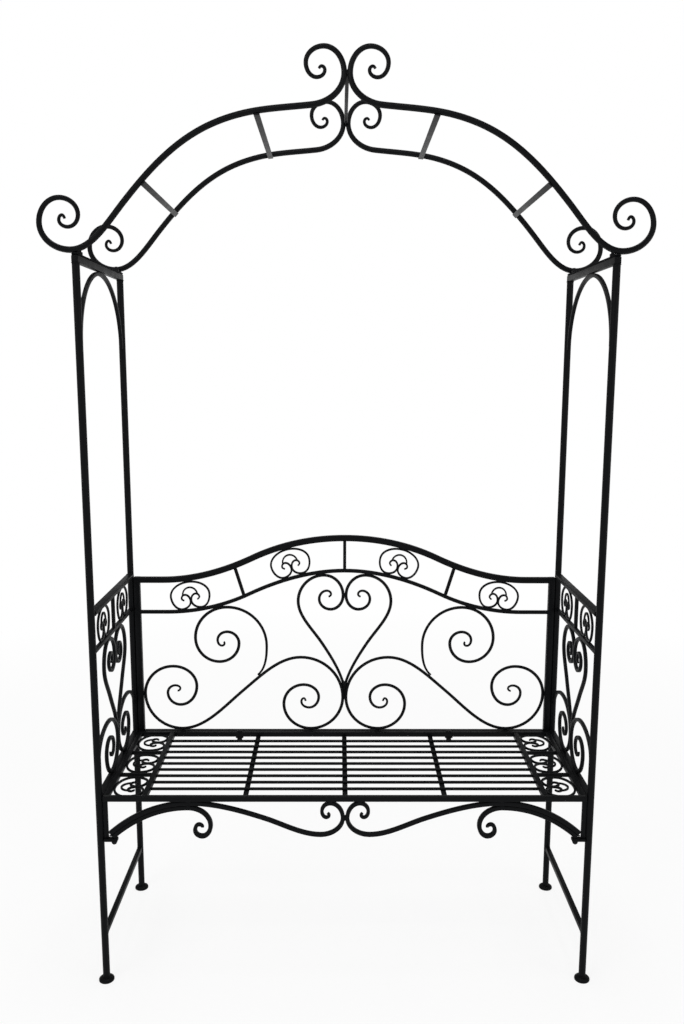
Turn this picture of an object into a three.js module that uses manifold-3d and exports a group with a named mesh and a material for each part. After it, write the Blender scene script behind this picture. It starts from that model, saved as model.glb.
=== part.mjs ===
// Arbor bench: two side frames, a scrolled back, a slatted seat, a scrolled apron and a scrolled arch.
// Millimetres, X across the bench, +Y to the back, +Z up, origin on the floor between the four posts.
import * as THREE from 'three';
import { mergeVertices } from 'three/addons/utils/BufferGeometryUtils.js';
import Module from 'manifold-3d';

const wasm = await Module();
wasm.setup();

// Driving sizes of the whole bench
const postSpacing = 1100;
const frameDepth = 388;
const sideTop = 1620.5;
const armTop = 875.5;
const seatTop = 453;
const stretcherHeight = 118;
const archHeight = 338;

// Gap between welded pieces, gap between a side frame and what stands beside it, bite of a weld
// inside one piece, and overrun of a cut
const weldGap = 0.3;
const sideGap = 0.5;
const weldBite = 0.4;
const cutOverrun = 2;

// Bars and tubes
const postDiameter = 16;
const tubeWall = 1.5;
const drainDiameter = 4;
const topRailSize = 14;
const armWidth = 18;
const armThickness = 10;
const friezeBar = 9;
const stretcherSize = 12;
const seatRailSize = 12;
const backRailSize = 15;
const scrollRod = 8;
const archBar = 13;
const lancetRod = 8.5;
const lancetDrop = 160;
const ornamentRod = 5;
const apronBar = 10;

// Feet
const footDiameter = 35;
const footThickness = 9;
const footRim = 5;
const footCrown = 24;

// Small scroll ornament that fills the friezes and the seat ends
const ornamentWidth = 105;
const ornamentHeight = 78;

// Back panel
const stileDrop = 9;
const crownSweepHeight = 109.5;
const friezeDrop = 85;
const dividerBar = 8;
const ornamentSink = 1.2;
const seatBoltShare = 0.508;

// Seat
const slatCount = 9;
const slatDiameter = 7;
const slatMargin = 42;
const crossStripWidth = 12;
const crossStripThickness = 3;
const endPanelWidth = 73.5;
const seatTabWidth = 20;

// Apron and its bracket
const apronDrop = 92;
const stripWidth = 10;
const stripThickness = 5;
const plateThickness = 3;
const bracketReach = 30;
const bracketWidth = 14;
const boltInset = 8;
const barPairGap = 0.6;

// Arch
const baseStripThickness = 4;
const baseStripWidth = 14;
const archStripWidth = 12;
const archStripThickness = 3;
const tieDiameter = 8;

// Bolts
const boltDiameter = 8;
const boltHeadDiameter = 14;
const boltFit = 0.3;
const nutAcross = 13;
const nutHeight = 6.5;
const boltTail = 5;
const boltHead = 4;
const capHeight = 9;

// Roundness: how far a facet may stray from the true curve, and the sides of a round
const curveTolerance = 1.8;
const ornamentTolerance = 2;
const archTolerance = 2;
const apronTolerance = 0.6;
const bendSamples = 24;
const roundSides = 10;
const footSides = 20;
const nutSides = 6;

// Headings of a drawn curve, in degrees
const quarterTurn = Math.PI / 2;
const RIGHT = 0;
const UP = THREE.MathUtils.radToDeg(quarterTurn);
const LEFT = UP + UP;
const DOWN = LEFT + UP;

// Cross-sections as shares of the half width and half depth of a bar
const roundShares = [[1, 0.5], [0, 1], [-1, 0.5], [-1, -0.5], [0, -1], [1, -0.5]];
const squareShares = [[1, 1], [-1, 1], [-1, -1], [1, -1]];

const paint = { color: 0x16181a, roughness: 0.42, metalness: 0.35 };

// From a closed geometry to a solid that can be cut or joined
function solidOf(geometry) {
  const bare = geometry.clone();
  bare.deleteAttribute('normal');
  bare.deleteAttribute('uv');
  const merged = mergeVertices(bare);
  const vertProperties = Float32Array.from(merged.attributes.position.array);
  const triVerts = Uint32Array.from(merged.index.array);
  return new wasm.Manifold(new wasm.Mesh({ numProp: 3, vertProperties, triVerts }));
}

function meshOf(name, solid) {
  const result = solid.getMesh();
  const geometry = new THREE.BufferGeometry();
  geometry.setAttribute('position', new THREE.BufferAttribute(Float32Array.from(result.vertProperties), 3));
  geometry.setIndex(new THREE.BufferAttribute(Uint32Array.from(result.triVerts), 1));
  geometry.computeVertexNormals();
  const mesh = new THREE.Mesh(geometry, new THREE.MeshStandardMaterial(paint));
  mesh.name = name;
  return mesh;
}

function joined(solids) {
  return solids.reduce((whole, next) => whole.add(next));
}

// Straight tubes and bars, centred on a place
function rectangle(width, height) {
  const shape = new THREE.Shape();
  shape.moveTo(-width / 2, -height / 2);
  shape.lineTo(width / 2, -height / 2);
  shape.lineTo(width / 2, height / 2);
  shape.lineTo(-width / 2, height / 2);
  shape.closePath();
  return shape;
}

function squareTube(width, height, length) {
  const shape = rectangle(width, height);
  shape.holes.push(rectangle(width - 2 * tubeWall, height - 2 * tubeWall));
  const geometry = new THREE.ExtrudeGeometry(shape, { depth: length, bevelEnabled: false });
  return geometry.translate(0, 0, -length / 2);
}

function tubeAlongX(length, depth, height, place) {
  return solidOf(squareTube(height, depth, length).rotateY(quarterTurn).translate(...place));
}

function tubeAlongY(width, length, height, place) {
  return solidOf(squareTube(width, height, length).rotateX(quarterTurn).translate(...place));
}

function block(width, depth, height, place) {
  return solidOf(new THREE.BoxGeometry(width, depth, height).translate(...place));
}

// A round bar along Z between two heights
function roundBar(diameter, low, high, [across, along], sides = roundSides) {
  const geometry = new THREE.CylinderGeometry(diameter / 2, diameter / 2, high - low, sides);
  return solidOf(geometry.rotateX(quarterTurn).translate(across, along, (low + high) / 2));
}

// A turned piece from its half outline, standing on Z
function turned(outline, sides, place) {
  const points = outline.map(([radius, height]) => new THREE.Vector2(radius, height));
  const geometry = new THREE.LatheGeometry(points, sides);
  return solidOf(geometry.rotateX(quarterTurn).translate(...place));
}

// Curves: a stop is a place, a heading and the share of the full bar size there
function direction(heading) {
  const angle = THREE.MathUtils.degToRad(heading);
  return new THREE.Vector2(Math.cos(angle), Math.sin(angle));
}

// The pull of a Bezier handle that makes an arc of the given turn, and an even S where there is none
function arcPull(turn) {
  const evenShare = 0.5;
  const leastTurn = 0.02;
  if (turn < leastTurn) {
    return evenShare;
  }
  return (4 / 3) * Math.tan(turn / 4) / Math.sin(turn);
}

function bendBetween(from, to) {
  const start = new THREE.Vector2(from.u, from.v);
  const end = new THREE.Vector2(to.u, to.v);
  const chord = end.clone().sub(start);
  const startWay = direction(from.heading);
  const endWay = direction(to.heading);
  const turn = Math.acos(THREE.MathUtils.clamp(startWay.dot(endWay), -1, 1));
  const startReach = Math.abs(chord.dot(startWay)) * arcPull(turn);
  const endReach = Math.abs(chord.dot(endWay)) * arcPull(turn);
  const startHandle = start.clone().addScaledVector(startWay, startReach);
  const endHandle = end.clone().addScaledVector(endWay, -endReach);
  return new THREE.CubicBezierCurve(start, startHandle, endHandle, end);
}

// Keep only the stations that the curve needs to stay within the tolerance
function needed(stations, tolerance) {
  const first = stations[0];
  const last = stations[stations.length - 1];
  const span = Math.hypot(last.u - first.u, last.v - first.v);
  let farthest = 0;
  let worst = 0;
  stations.forEach((station, index) => {
    const across = (last.u - first.u) * (station.v - first.v) - (last.v - first.v) * (station.u - first.u);
    if (Math.abs(across) / span > farthest) {
      farthest = Math.abs(across) / span;
      worst = index;
    }
  });
  if (farthest <= tolerance) {
    return [first, last];
  }
  const before = needed(stations.slice(0, worst + 1), tolerance);
  const after = needed(stations.slice(worst), tolerance);
  return [...before, ...after.slice(1)];
}

// Stations along a bar: centre, unit tangent and half width
function route(stops, barSize, tolerance = curveTolerance) {
  const stations = [];
  for (let index = 0; index + 1 < stops.length; index += 1) {
    const from = stops[index];
    const to = stops[index + 1];
    const bend = bendBetween(from, to);
    const samples = [];
    for (let step = 0; step <= bendSamples; step += 1) {
      const along = step / bendSamples;
      const centre = bend.getPoint(along);
      const tangent = bend.getTangent(along);
      const size = THREE.MathUtils.lerp(from.size, to.size, along);
      samples.push({ u: centre.x, v: centre.y, tangent, half: size * barSize / 2 });
    }
    const kept = needed(samples, tolerance);
    stations.push(...(index === 0 ? kept : kept.slice(1)));
  }
  return stations;
}

// Sweep a cross-section along the stations, in the plane of local X and Y
function sweptBar(stations, sectionShares, depth) {
  const ring = sectionShares.length;
  const last = stations.length - 1;
  const positions = [];
  const faces = [];
  stations.forEach(({ u, v, tangent, half }, index) => {
    const halfDepth = depth === undefined ? half : depth / 2;
    sectionShares.forEach(([across, out]) => {
      positions.push(u - tangent.y * across * half, v + tangent.x * across * half, out * halfDepth);
    });
    if (index === last) {
      return;
    }
    for (let corner = 0; corner < ring; corner += 1) {
      const next = (corner + 1) % ring;
      const near = index * ring;
      const far = near + ring;
      faces.push(near + corner, far + next, far + corner);
      faces.push(near + corner, near + next, far + next);
    }
  });
  for (let corner = 1; corner + 1 < ring; corner += 1) {
    faces.push(0, corner + 1, corner);
    faces.push(last * ring, last * ring + corner, last * ring + corner + 1);
  }
  const geometry = new THREE.BufferGeometry();
  geometry.setAttribute('position', new THREE.BufferAttribute(new Float32Array(positions), 3));
  geometry.setIndex(faces);
  return geometry;
}

function uprightBar(stations, sectionShares, depth) {
  return solidOf(sweptBar(stations, sectionShares, depth).rotateX(quarterTurn));
}

// Turn shares of a panel opening into stops
function stopsIn(opening, shares) {
  return shares.map(([across, up, heading, size = 1]) => ({
    u: THREE.MathUtils.lerp(opening.left, opening.right, across),
    v: THREE.MathUtils.lerp(opening.bottom, opening.top, up),
    heading,
    size,
  }));
}

function mirrored(stations) {
  return stations.map(({ u, v, tangent, half }) => (
    { u: -u, v, tangent: new THREE.Vector2(-tangent.x, tangent.y), half }
  ));
}

// Nearest distance between two bars, surface to surface
function distanceToRun(point, from, to) {
  const run = new THREE.Vector2(to.u - from.u, to.v - from.v);
  const offset = new THREE.Vector2(point.u - from.u, point.v - from.v);
  const along = THREE.MathUtils.clamp(offset.dot(run) / run.lengthSq(), 0, 1);
  const half = THREE.MathUtils.lerp(from.half, to.half, along);
  return offset.addScaledVector(run, -along).length() - half - point.half;
}

function clearanceBetween(first, second) {
  let nearest = Infinity;
  [[first, second], [second, first]].forEach(([points, runs]) => {
    points.forEach((point) => {
      for (let index = 0; index + 1 < runs.length; index += 1) {
        nearest = Math.min(nearest, distanceToRun(point, runs[index], runs[index + 1]));
      }
    });
  });
  return nearest;
}

// Raise a value until what it draws comes within the weld gap of its neighbour
function valueThatTouches(firstGuess, drawAt, neighbour) {
  const rounds = 24;
  let value = firstGuess;
  for (let round = 0; round < rounds; round += 1) {
    value += clearanceBetween(drawAt(value), neighbour) - weldGap;
  }
  return value;
}

// Places worked out from the driving sizes
const postAcross = postSpacing / 2;
const postAlong = frameDepth / 2;
const postTop = sideTop - topRailSize - weldGap;
const innerHalf = postAcross - postDiameter / 2 - sideGap;
const sideRailHalf = postAlong - postDiameter / 2 - weldGap;
const seatBottom = seatTop - seatRailSize;
const seatMiddle = seatTop - seatRailSize / 2;
const armBottom = armTop - armThickness;
const sideFriezeTop = armBottom - weldGap + weldBite - ornamentHeight;

// The small ornament: a rod coiled in at both ends under its own arch, and a short inner arch
const hornShares = [
  [0.33, 0.31, 150, 0.8],
  [0.27, 0.40, UP, 0.9],
  [0.36, 0.53, RIGHT],
  [0.49, 0.28, DOWN],
  [0.25, 0, LEFT],
  [0, 0.5, UP],
  [0.5, 1, RIGHT],
];
const innerArchShares = [
  [0.31, 0.50, UP, 0.8],
  [0.5, 0.79, RIGHT, 0.9],
  [0.69, 0.50, DOWN, 0.8],
];

// Drawn in local X and Y with its lobes standing on zero, then turned and placed by the caller
function ornament(placeIt, height = ornamentHeight) {
  const edge = ornamentRod / 2;
  const opening = {
    left: edge - ornamentWidth / 2,
    right: ornamentWidth / 2 - edge,
    bottom: edge,
    top: height - edge,
  };
  const horn = route(stopsIn(opening, hornShares), ornamentRod, ornamentTolerance);
  const arch = route(stopsIn(opening, innerArchShares), ornamentRod, ornamentTolerance);
  const parts = [horn, mirrored(horn), arch];
  return joined(parts.map((part) => solidOf(placeIt(sweptBar(part, squareShares, ornamentRod)))));
}

// Side frame, drawn facing front: local X runs from the front post to the rear post
function post(end) {
  const outer = postDiameter / 2;
  const inner = outer - tubeWall;
  const low = footThickness + weldGap;
  const outline = [[inner, low], [outer, low], [outer, postTop], [inner, postTop], [inner, low]];
  return turned(outline, roundSides, [end * postAlong, 0, 0]);
}

function foot(end) {
  const outline = [
    [0, 0],
    [footDiameter / 2, 0],
    [footDiameter / 2, footRim],
    [footCrown / 2, footThickness],
    [0, footThickness],
  ];
  return turned(outline, footSides, [end * postAlong, 0, 0]);
}

// Closed at both ends, with a drain hole in the underside
function topRail() {
  const length = frameDepth + postDiameter;
  const hollow = topRailSize - 2 * tubeWall;
  const middle = sideTop - topRailSize / 2;
  const outside = block(length, topRailSize, topRailSize, [0, 0, middle]);
  const inside = block(length - 2 * tubeWall, hollow, hollow, [0, 0, middle]);
  const drain = roundBar(drainDiameter, postTop - cutOverrun, middle, [0, 0]);
  return outside.subtract(inside).subtract(drain);
}

function sideRail(width, thickness, middleHeight) {
  return tubeAlongX(2 * sideRailHalf, width, thickness, [0, 0, middleHeight]);
}

// The rod that makes a round head under the top rail and runs out on the posts
function lancet() {
  const half = lancetRod / 2;
  const reach = sideRailHalf - half;
  const crown = sideTop - topRailSize - weldGap - half;
  const stops = [
    { u: -reach, v: crown - lancetDrop, heading: UP, size: 1 },
    { u: 0, v: crown, heading: RIGHT, size: 1 },
    { u: reach, v: crown - lancetDrop, heading: DOWN, size: 1 },
  ];
  return uprightBar(route(stops, lancetRod), squareShares);
}

function sideFrieze() {
  const ornamentShare = 0.5;
  const rail = block(2 * sideRailHalf, friezeBar, friezeBar, [0, 0, sideFriezeTop - friezeBar / 2]);
  const low = sideFriezeTop - weldBite;
  const high = armBottom - weldGap;
  const divider = block(dividerBar, dividerBar, high - low, [0, 0, (low + high) / 2]);
  const ornaments = [-1, 1].map((end) => {
    const away = end * sideRailHalf * ornamentShare;
    return ornament((bar) => bar.rotateX(quarterTurn).translate(away, 0, low));
  });
  return joined([rail, divider, ...ornaments]);
}

// Heart over two C-scrolls, drawn for the front half and mirrored
const sideHeartShares = [
  [0.83, 0.800, 45, 0.7],
  [0.86, 0.825, UP, 0.75],
  [0.785, 0.885, LEFT, 0.85],
  [0.675, 0.825, DOWN, 0.9],
  [0.83, 0.745, RIGHT],
  [1, 0.856, UP],
  [0.71, 1, LEFT],
  [0.433, 0.818, DOWN],
  [0.68, 0.570, 302],
  [1, 0.250, 280],
];
const sideCurlShares = [
  [0, 0.23, UP],
  [0.5, 0.405, RIGHT],
  [1, 0.185, DOWN],
  [0.66, 0, LEFT],
  [0.38, 0.165, UP],
  [0.56, 0.268, RIGHT, 0.95],
  [0.77, 0.180, DOWN, 0.9],
  [0.66, 0.118, LEFT, 0.8],
  [0.59, 0.158, 70, 0.7],
];

function sideScrollwork() {
  const half = scrollRod / 2;
  const opening = {
    left: half - sideRailHalf,
    right: weldBite / 2 - half,
    bottom: seatTop + weldGap + half,
    top: sideFriezeTop - friezeBar - weldGap - half,
  };
  const heart = route(stopsIn(opening, sideHeartShares), scrollRod);
  const curl = route(stopsIn(opening, sideCurlShares), scrollRod);
  const parts = [heart, mirrored(heart), curl, mirrored(curl)];
  return joined(parts.map((part) => uprightBar(part, squareShares)));
}

// The tab on the front post and the bracket of the apron share one bolt
const bracketTop = seatBottom - apronDrop + plateThickness;
const bracketBottom = bracketTop - plateThickness;
const tabTop = bracketBottom - weldGap;
const tabBottom = tabTop - plateThickness;
const apronBoltAcross = innerHalf - bracketReach + boltInset;

function boltHole(place, low, high) {
  return roundBar(boltDiameter + 2 * boltFit, low - cutOverrun, high + cutOverrun, place);
}

// The tab leaves the post towards the middle of the bench: local +Y on the right frame
function frontPost(side) {
  const start = postDiameter / 2 - tubeWall;
  const end = postAcross - innerHalf + bracketReach;
  const place = [-postAlong, side * (start + end) / 2, (tabTop + tabBottom) / 2];
  const plate = block(bracketWidth, end - start, plateThickness, place);
  const hole = boltHole([-postAlong, side * (postAcross - apronBoltAcross)], tabBottom, tabTop);
  return post(-1).add(plate.subtract(hole));
}

function sideFrame(side, name) {
  const group = new THREE.Group();
  const pieces = {
    front_post: frontPost(side),
    rear_post: post(1),
    front_foot: foot(-1),
    rear_foot: foot(1),
    top_rail: topRail(),
    arm_rail: sideRail(armWidth, armThickness, armTop - armThickness / 2),
    seat_level_rail: sideRail(postDiameter, seatRailSize, seatMiddle),
    stretcher: sideRail(stretcherSize, stretcherSize, stretcherHeight),
    arm_frieze: sideFrieze(),
    lancet_rod: lancet(),
    side_scrollwork: sideScrollwork(),
  };
  Object.entries(pieces).forEach(([piece, solid]) => group.add(meshOf(`${name}_${piece}`, solid)));
  group.rotation.z = quarterTurn;
  group.position.x = side * postAcross;
  return group;
}

// Back panel, drawn in its own plane with local X across the bench
const backRailHalf = innerHalf - backRailSize - weldGap;
const backEndHeight = armTop - stileDrop - backRailSize / 2;
const crownHeight = backEndHeight + crownSweepHeight;
const backBottom = seatTop - backRailSize;

// Each rail is bent to a crest and two hollows. The slope between them is steepest at one place,
// and the rail is level from its end to where the hollow starts.
const slopeHeading = 25.5;
const crownWave = { level: 0.888, slopeAcross: 0.449, slopeUp: 0.526 };
const friezeWave = { level: 0.868, slopeAcross: 0.468, slopeUp: 0.435 };

function serpentine(endHeight, wave, barSize) {
  const level = backRailHalf * wave.level;
  const slopeAcross = backRailHalf * wave.slopeAcross;
  const slopeHeight = endHeight + crownSweepHeight * wave.slopeUp;
  const stops = [
    { u: -backRailHalf, v: endHeight, heading: RIGHT, size: 1 },
    { u: -level, v: endHeight, heading: RIGHT, size: 1 },
    { u: -slopeAcross, v: slopeHeight, heading: slopeHeading, size: 1 },
    { u: 0, v: endHeight + crownSweepHeight, heading: RIGHT, size: 1 },
    { u: slopeAcross, v: slopeHeight, heading: -slopeHeading, size: 1 },
    { u: level, v: endHeight, heading: RIGHT, size: 1 },
    { u: backRailHalf, v: endHeight, heading: RIGHT, size: 1 },
  ];
  return route(stops, barSize);
}

const crownRail = serpentine(backEndHeight, crownWave, backRailSize);
const friezeRail = serpentine(backEndHeight - friezeDrop, friezeWave, friezeBar);

// Height and slope of a rail's centre line at a place across the bench
function railAt(rail, across) {
  const index = Math.max(rail.findIndex((station) => station.u > across), 1);
  const from = rail[index - 1];
  const to = rail[index];
  const share = (across - from.u) / (to.u - from.u);
  const height = THREE.MathUtils.lerp(from.v, to.v, share);
  return { height, slope: Math.atan2(to.v - from.v, to.u - from.u) };
}

function straightBar(from, to, size) {
  const tangent = new THREE.Vector2(to.u - from.u, to.v - from.v).normalize();
  const stations = [from, to].map(({ u, v }) => ({ u, v, tangent, half: size / 2 }));
  return uprightBar(stations, squareShares);
}

// A divider runs from inside the frieze rail to just under the crown rail
function backDivider(footAcross, headAcross) {
  const low = railAt(friezeRail, footAcross);
  const high = railAt(crownRail, headAcross);
  const lean = Math.abs(headAcross - footAcross) / (high.height - low.height);
  const railEdge = backRailSize / 2 / Math.cos(high.slope) + weldGap;
  const cornerDrop = dividerBar / 2 * (Math.abs(Math.tan(high.slope)) + lean);
  const foot = { u: footAcross, v: low.height };
  const head = { u: headAcross, v: high.height - railEdge - cornerDrop };
  return straightBar(foot, head, dividerBar);
}

const backOrnamentShares = [0.246, 0.747];
const dividerFootShare = 0.492;
const dividerHeadShare = 0.534;

// Each ornament stands square to the slope of the rail and reaches the crown rail
function backOrnament(across) {
  const { height, slope } = railAt(friezeRail, across);
  const half = ornamentRod / 2;
  const foot = friezeBar / 2 - ornamentSink;
  const topAt = (reach) => [{
    u: across - Math.sin(slope) * reach,
    v: height + Math.cos(slope) * reach,
    half,
  }];
  const way = valueThatTouches(friezeBar, topAt, crownRail) + half - foot;
  const placeIt = (bar) => bar
    .translate(0, foot, 0)
    .rotateZ(slope)
    .rotateX(quarterTurn)
    .translate(across, 0, height);
  return ornament(placeIt, way);
}

function backFrieze() {
  const parts = [uprightBar(friezeRail, squareShares), backDivider(0, 0)];
  [-1, 1].forEach((side) => {
    const footAcross = side * backRailHalf * dividerFootShare;
    const headAcross = side * backRailHalf * dividerHeadShare;
    parts.push(backDivider(footAcross, headAcross));
    backOrnamentShares.forEach((share) => parts.push(backOrnament(side * backRailHalf * share)));
  });
  return joined(parts);
}

// The long S-scroll: a coil by the middle, an arch over it, a slant and a coil by the stile
const backScrollShares = [
  [0.812, 0.182, 110, 0.65],
  [0.803, 0.199, LEFT, 0.7],
  [0.790, 0.177, DOWN, 0.75],
  [0.829, 0.138, RIGHT, 0.85],
  [0.878, 0.208, UP, 0.95],
  [0.802, 0.288, LEFT],
  [0.701, 0.162, DOWN],
  [0.837, 0, RIGHT],
  [1, 0.206, UP],
  [0.788, 0.467, LEFT],
  [0.499, 0.254, 221],
  [0.184, 0, LEFT],
  [0, 0.230, UP],
  [0.144, 0.408, RIGHT],
  [0.261, 0.281, DOWN],
  [0.177, 0.157, LEFT],
  [0.1136, 0.235, UP, 0.9],
  [0.153, 0.283, RIGHT, 0.8],
  [0.177, 0.264, DOWN, 0.7],
  [0.163, 0.248, LEFT, 0.65],
];
const slantStart = 9;

// The upper curl, from the side of the slant up to the frieze rail and into its own coil
const backCurlShares = [
  [0.617, 0.692, UP, 0.85],
  [0.421, 1, LEFT],
  [0.260, 0.753, DOWN],
  [0.379, 0.560, RIGHT],
  [0.478, 0.710, UP],
  [0.419, 0.802, LEFT, 0.95],
  [0.371, 0.735, DOWN, 0.85],
  [0.392, 0.690, RIGHT, 0.75],
  [0.405, 0.707, UP, 0.7],
  [0.402, 0.722, 130, 0.65],
];
const curlCrownShare = backCurlShares[1][0];
const curlTailShare = 0.71;
const curlTailThinShare = 0.65;

// Half a heart, from its inner coil over the crown and down to the shoulders of the S-scrolls
const backHeartShares = [
  [0.9275, 0.856, 20, 0.65],
  [0.940, 0.872, UP, 0.7],
  [0.919, 0.894, LEFT, 0.8],
  [0.881, 0.841, DOWN, 0.9],
  [0.938, 0.776, RIGHT],
  [1, 0.865, UP],
  [0.905, 1, LEFT],
  [0.776, 0.827, DOWN],
  [0.895, 0.558, 303],
  [1, 0.327, 287, 0.9],
];
const heartCrown = 6;
const heartFoot = backHeartShares.length - 1;

function backOpening(middleGap) {
  return {
    left: weldGap + scrollRod / 2 - backRailHalf,
    right: -(middleGap + scrollRod) / 2,
    bottom: seatTop + weldGap + scrollRod / 2,
    top: crownHeight - friezeDrop - (friezeBar + scrollRod) / 2 - weldGap,
  };
}

const backScrollStops = stopsIn(backOpening(weldGap), backScrollShares);
const backScroll = route(backScrollStops, scrollRod);

function raised(stops, index, rise) {
  return stops.map((stop, place) => (place === index ? { ...stop, v: stop.v + rise } : stop));
}

// The thin tail of the curl lies along the slant, nearer to it as the approach grows
function curlTail(approach) {
  const slant = bendBetween(backScrollStops[slantStart], backScrollStops[slantStart + 1]);
  const centre = slant.getPoint(curlTailShare);
  const way = slant.getTangent(curlTailShare).negate();
  const offset = (1 + curlTailThinShare) * scrollRod / 2 + weldGap - approach;
  return {
    u: centre.x - way.y * offset,
    v: centre.y + way.x * offset,
    heading: THREE.MathUtils.radToDeg(Math.atan2(way.y, way.x)),
    size: curlTailThinShare,
  };
}

// Its opening reaches up to the frieze rail where its crown stands
function curlOpening() {
  const opening = backOpening(weldGap);
  const across = THREE.MathUtils.lerp(opening.left, opening.right, curlCrownShare);
  const top = railAt(friezeRail, across).height - (friezeBar + scrollRod) / 2 - weldGap;
  return { ...opening, top };
}

function curlAt(approach, rise) {
  const stops = stopsIn(curlOpening(), backCurlShares);
  const lifted = stops.map((stop) => ({ ...stop, v: stop.v + rise }));
  return route([curlTail(approach), ...lifted], scrollRod);
}

function backCurl() {
  const approach = valueThatTouches(0, (value) => curlAt(value, 0), backScroll);
  const rise = valueThatTouches(0, (value) => curlAt(approach, value), friezeRail);
  return curlAt(approach, rise);
}

function heartAt(rise, drop) {
  const stops = stopsIn(backOpening(-weldBite), backHeartShares);
  return route(raised(raised(stops, heartCrown, rise), heartFoot, -drop), scrollRod);
}

function backHeart() {
  const rise = valueThatTouches(0, (value) => heartAt(value, 0), friezeRail);
  const drop = valueThatTouches(0, (value) => heartAt(rise, value), backScroll);
  const half = heartAt(rise, drop);
  return joined([half, mirrored(half)].map((part) => uprightBar(part, roundShares)));
}

// Upright tube beside the rear post, closed on top
function backStile(side) {
  const top = backEndHeight + backRailSize / 2;
  const place = side * (innerHalf - backRailSize / 2);
  const hollow = backRailSize - 2 * tubeWall;
  const low = backBottom - cutOverrun;
  const high = top - tubeWall;
  const outside = block(backRailSize, backRailSize, top - backBottom, [place, 0, (top + backBottom) / 2]);
  return outside.subtract(block(hollow, hollow, high - low, [place, 0, (low + high) / 2]));
}

// The seat stands in front of the bottom rail and is bolted to its two tabs
const seatRearAlong = postAlong - (backRailSize + seatRailSize) / 2 - weldGap;
const seatBoltAcross = innerHalf * seatBoltShare;
const seatTabTop = seatBottom - weldGap;
const seatTabBottom = seatTabTop - plateThickness;

function backBottomRail() {
  const rail = tubeAlongX(2 * backRailHalf, backRailSize, backRailSize, [0, 0, seatTop - backRailSize / 2]);
  const rear = tubeWall / 2 - backRailSize / 2;
  const front = seatRearAlong - seatRailSize / 2 - postAlong;
  const tabs = [-1, 1].map((side) => {
    const place = [side * seatBoltAcross, (rear + front) / 2, (seatTabTop + seatTabBottom) / 2];
    const plate = block(seatTabWidth, rear - front, plateThickness, place);
    const holePlace = [side * seatBoltAcross, seatRearAlong - postAlong];
    return plate.subtract(boltHole(holePlace, seatTabBottom, seatTabTop));
  });
  return joined([rail, ...tabs]);
}

function backPanel() {
  const group = new THREE.Group();
  const curl = backCurl();
  const pieces = {
    left_back_stile: backStile(-1),
    right_back_stile: backStile(1),
    back_crown_rail: uprightBar(crownRail, squareShares),
    back_frieze: backFrieze(),
    back_heart: backHeart(),
    left_back_scroll: uprightBar(backScroll, roundShares),
    right_back_scroll: uprightBar(mirrored(backScroll), roundShares),
    left_back_curl: uprightBar(curl, roundShares),
    right_back_curl: uprightBar(mirrored(curl), roundShares),
    back_bottom_rail: backBottomRail(),
  };
  Object.entries(pieces).forEach(([piece, solid]) => group.add(meshOf(piece, solid)));
  group.position.y = postAlong;
  return group;
}

// Seat: two long rails, two end panels and a grid of round slats between them
const seatFrontEdge = seatRailSize / 2 - postAlong + weldGap;
const seatRearEdge = seatRearAlong - seatRailSize / 2 - weldGap;
const seatCentre = (seatFrontEdge + seatRearEdge) / 2;
const seatDepth = seatRearEdge - seatFrontEdge;
const seatSideAcross = innerHalf - seatRailSize / 2;
const endBarAcross = seatSideAcross - seatRailSize - endPanelWidth;

function seatRail(along) {
  return tubeAlongX(2 * innerHalf, seatRailSize, seatRailSize, [0, along, seatMiddle]);
}

function seatRearRail() {
  const holes = [-1, 1].map((side) => boltHole([side * seatBoltAcross, seatRearAlong], seatBottom, seatTop));
  return holes.reduce((rail, hole) => rail.subtract(hole), seatRail(seatRearAlong));
}

function slatGrid() {
  const parts = [];
  [-1, 1].forEach((side) => {
    parts.push(block(seatRailSize, seatDepth, seatRailSize, [side * endBarAcross, seatCentre, seatMiddle]));
  });
  const spread = seatDepth - 2 * slatMargin;
  for (let slat = 0; slat < slatCount; slat += 1) {
    const along = seatCentre + spread * (slat / (slatCount - 1) - 1 / 2);
    const slatLength = 2 * endBarAcross;
    const round = new THREE.CylinderGeometry(slatDiameter / 2, slatDiameter / 2, slatLength, roundSides);
    parts.push(solidOf(round.rotateZ(quarterTurn).translate(0, along, seatMiddle)));
  }
  const stripTop = seatMiddle - slatDiameter / 2 + weldBite;
  [-1, 0, 1].forEach((step) => {
    const place = [step * endBarAcross / 2, seatCentre, stripTop - crossStripThickness / 2];
    parts.push(block(crossStripWidth, seatDepth, crossStripThickness, place));
  });
  return joined(parts);
}

// Three ornaments and two dividers on the inner side of a seat's side rail
function seatEnd(side) {
  const place = [side * seatSideAcross, seatCentre, seatMiddle];
  const rail = tubeAlongY(seatRailSize, seatDepth, seatRailSize, place);
  const near = endBarAcross + seatRailSize / 2 + weldGap;
  const far = seatSideAcross - seatRailSize / 2 + weldBite;
  const spacing = (seatDepth - ornamentWidth) / 2;
  const ornaments = [-1, 0, 1].map((step) => ornament((bar) => bar
    .rotateZ(-side * quarterTurn)
    .translate(side * near, seatCentre + step * spacing, seatMiddle), far - near));
  const dividers = [-1, 1].map((step) => {
    const middle = [side * (near + far) / 2, seatCentre + step * spacing / 2, seatMiddle];
    return block(far - near, dividerBar, dividerBar, middle);
  });
  return joined([rail, ...ornaments, ...dividers]);
}

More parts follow.
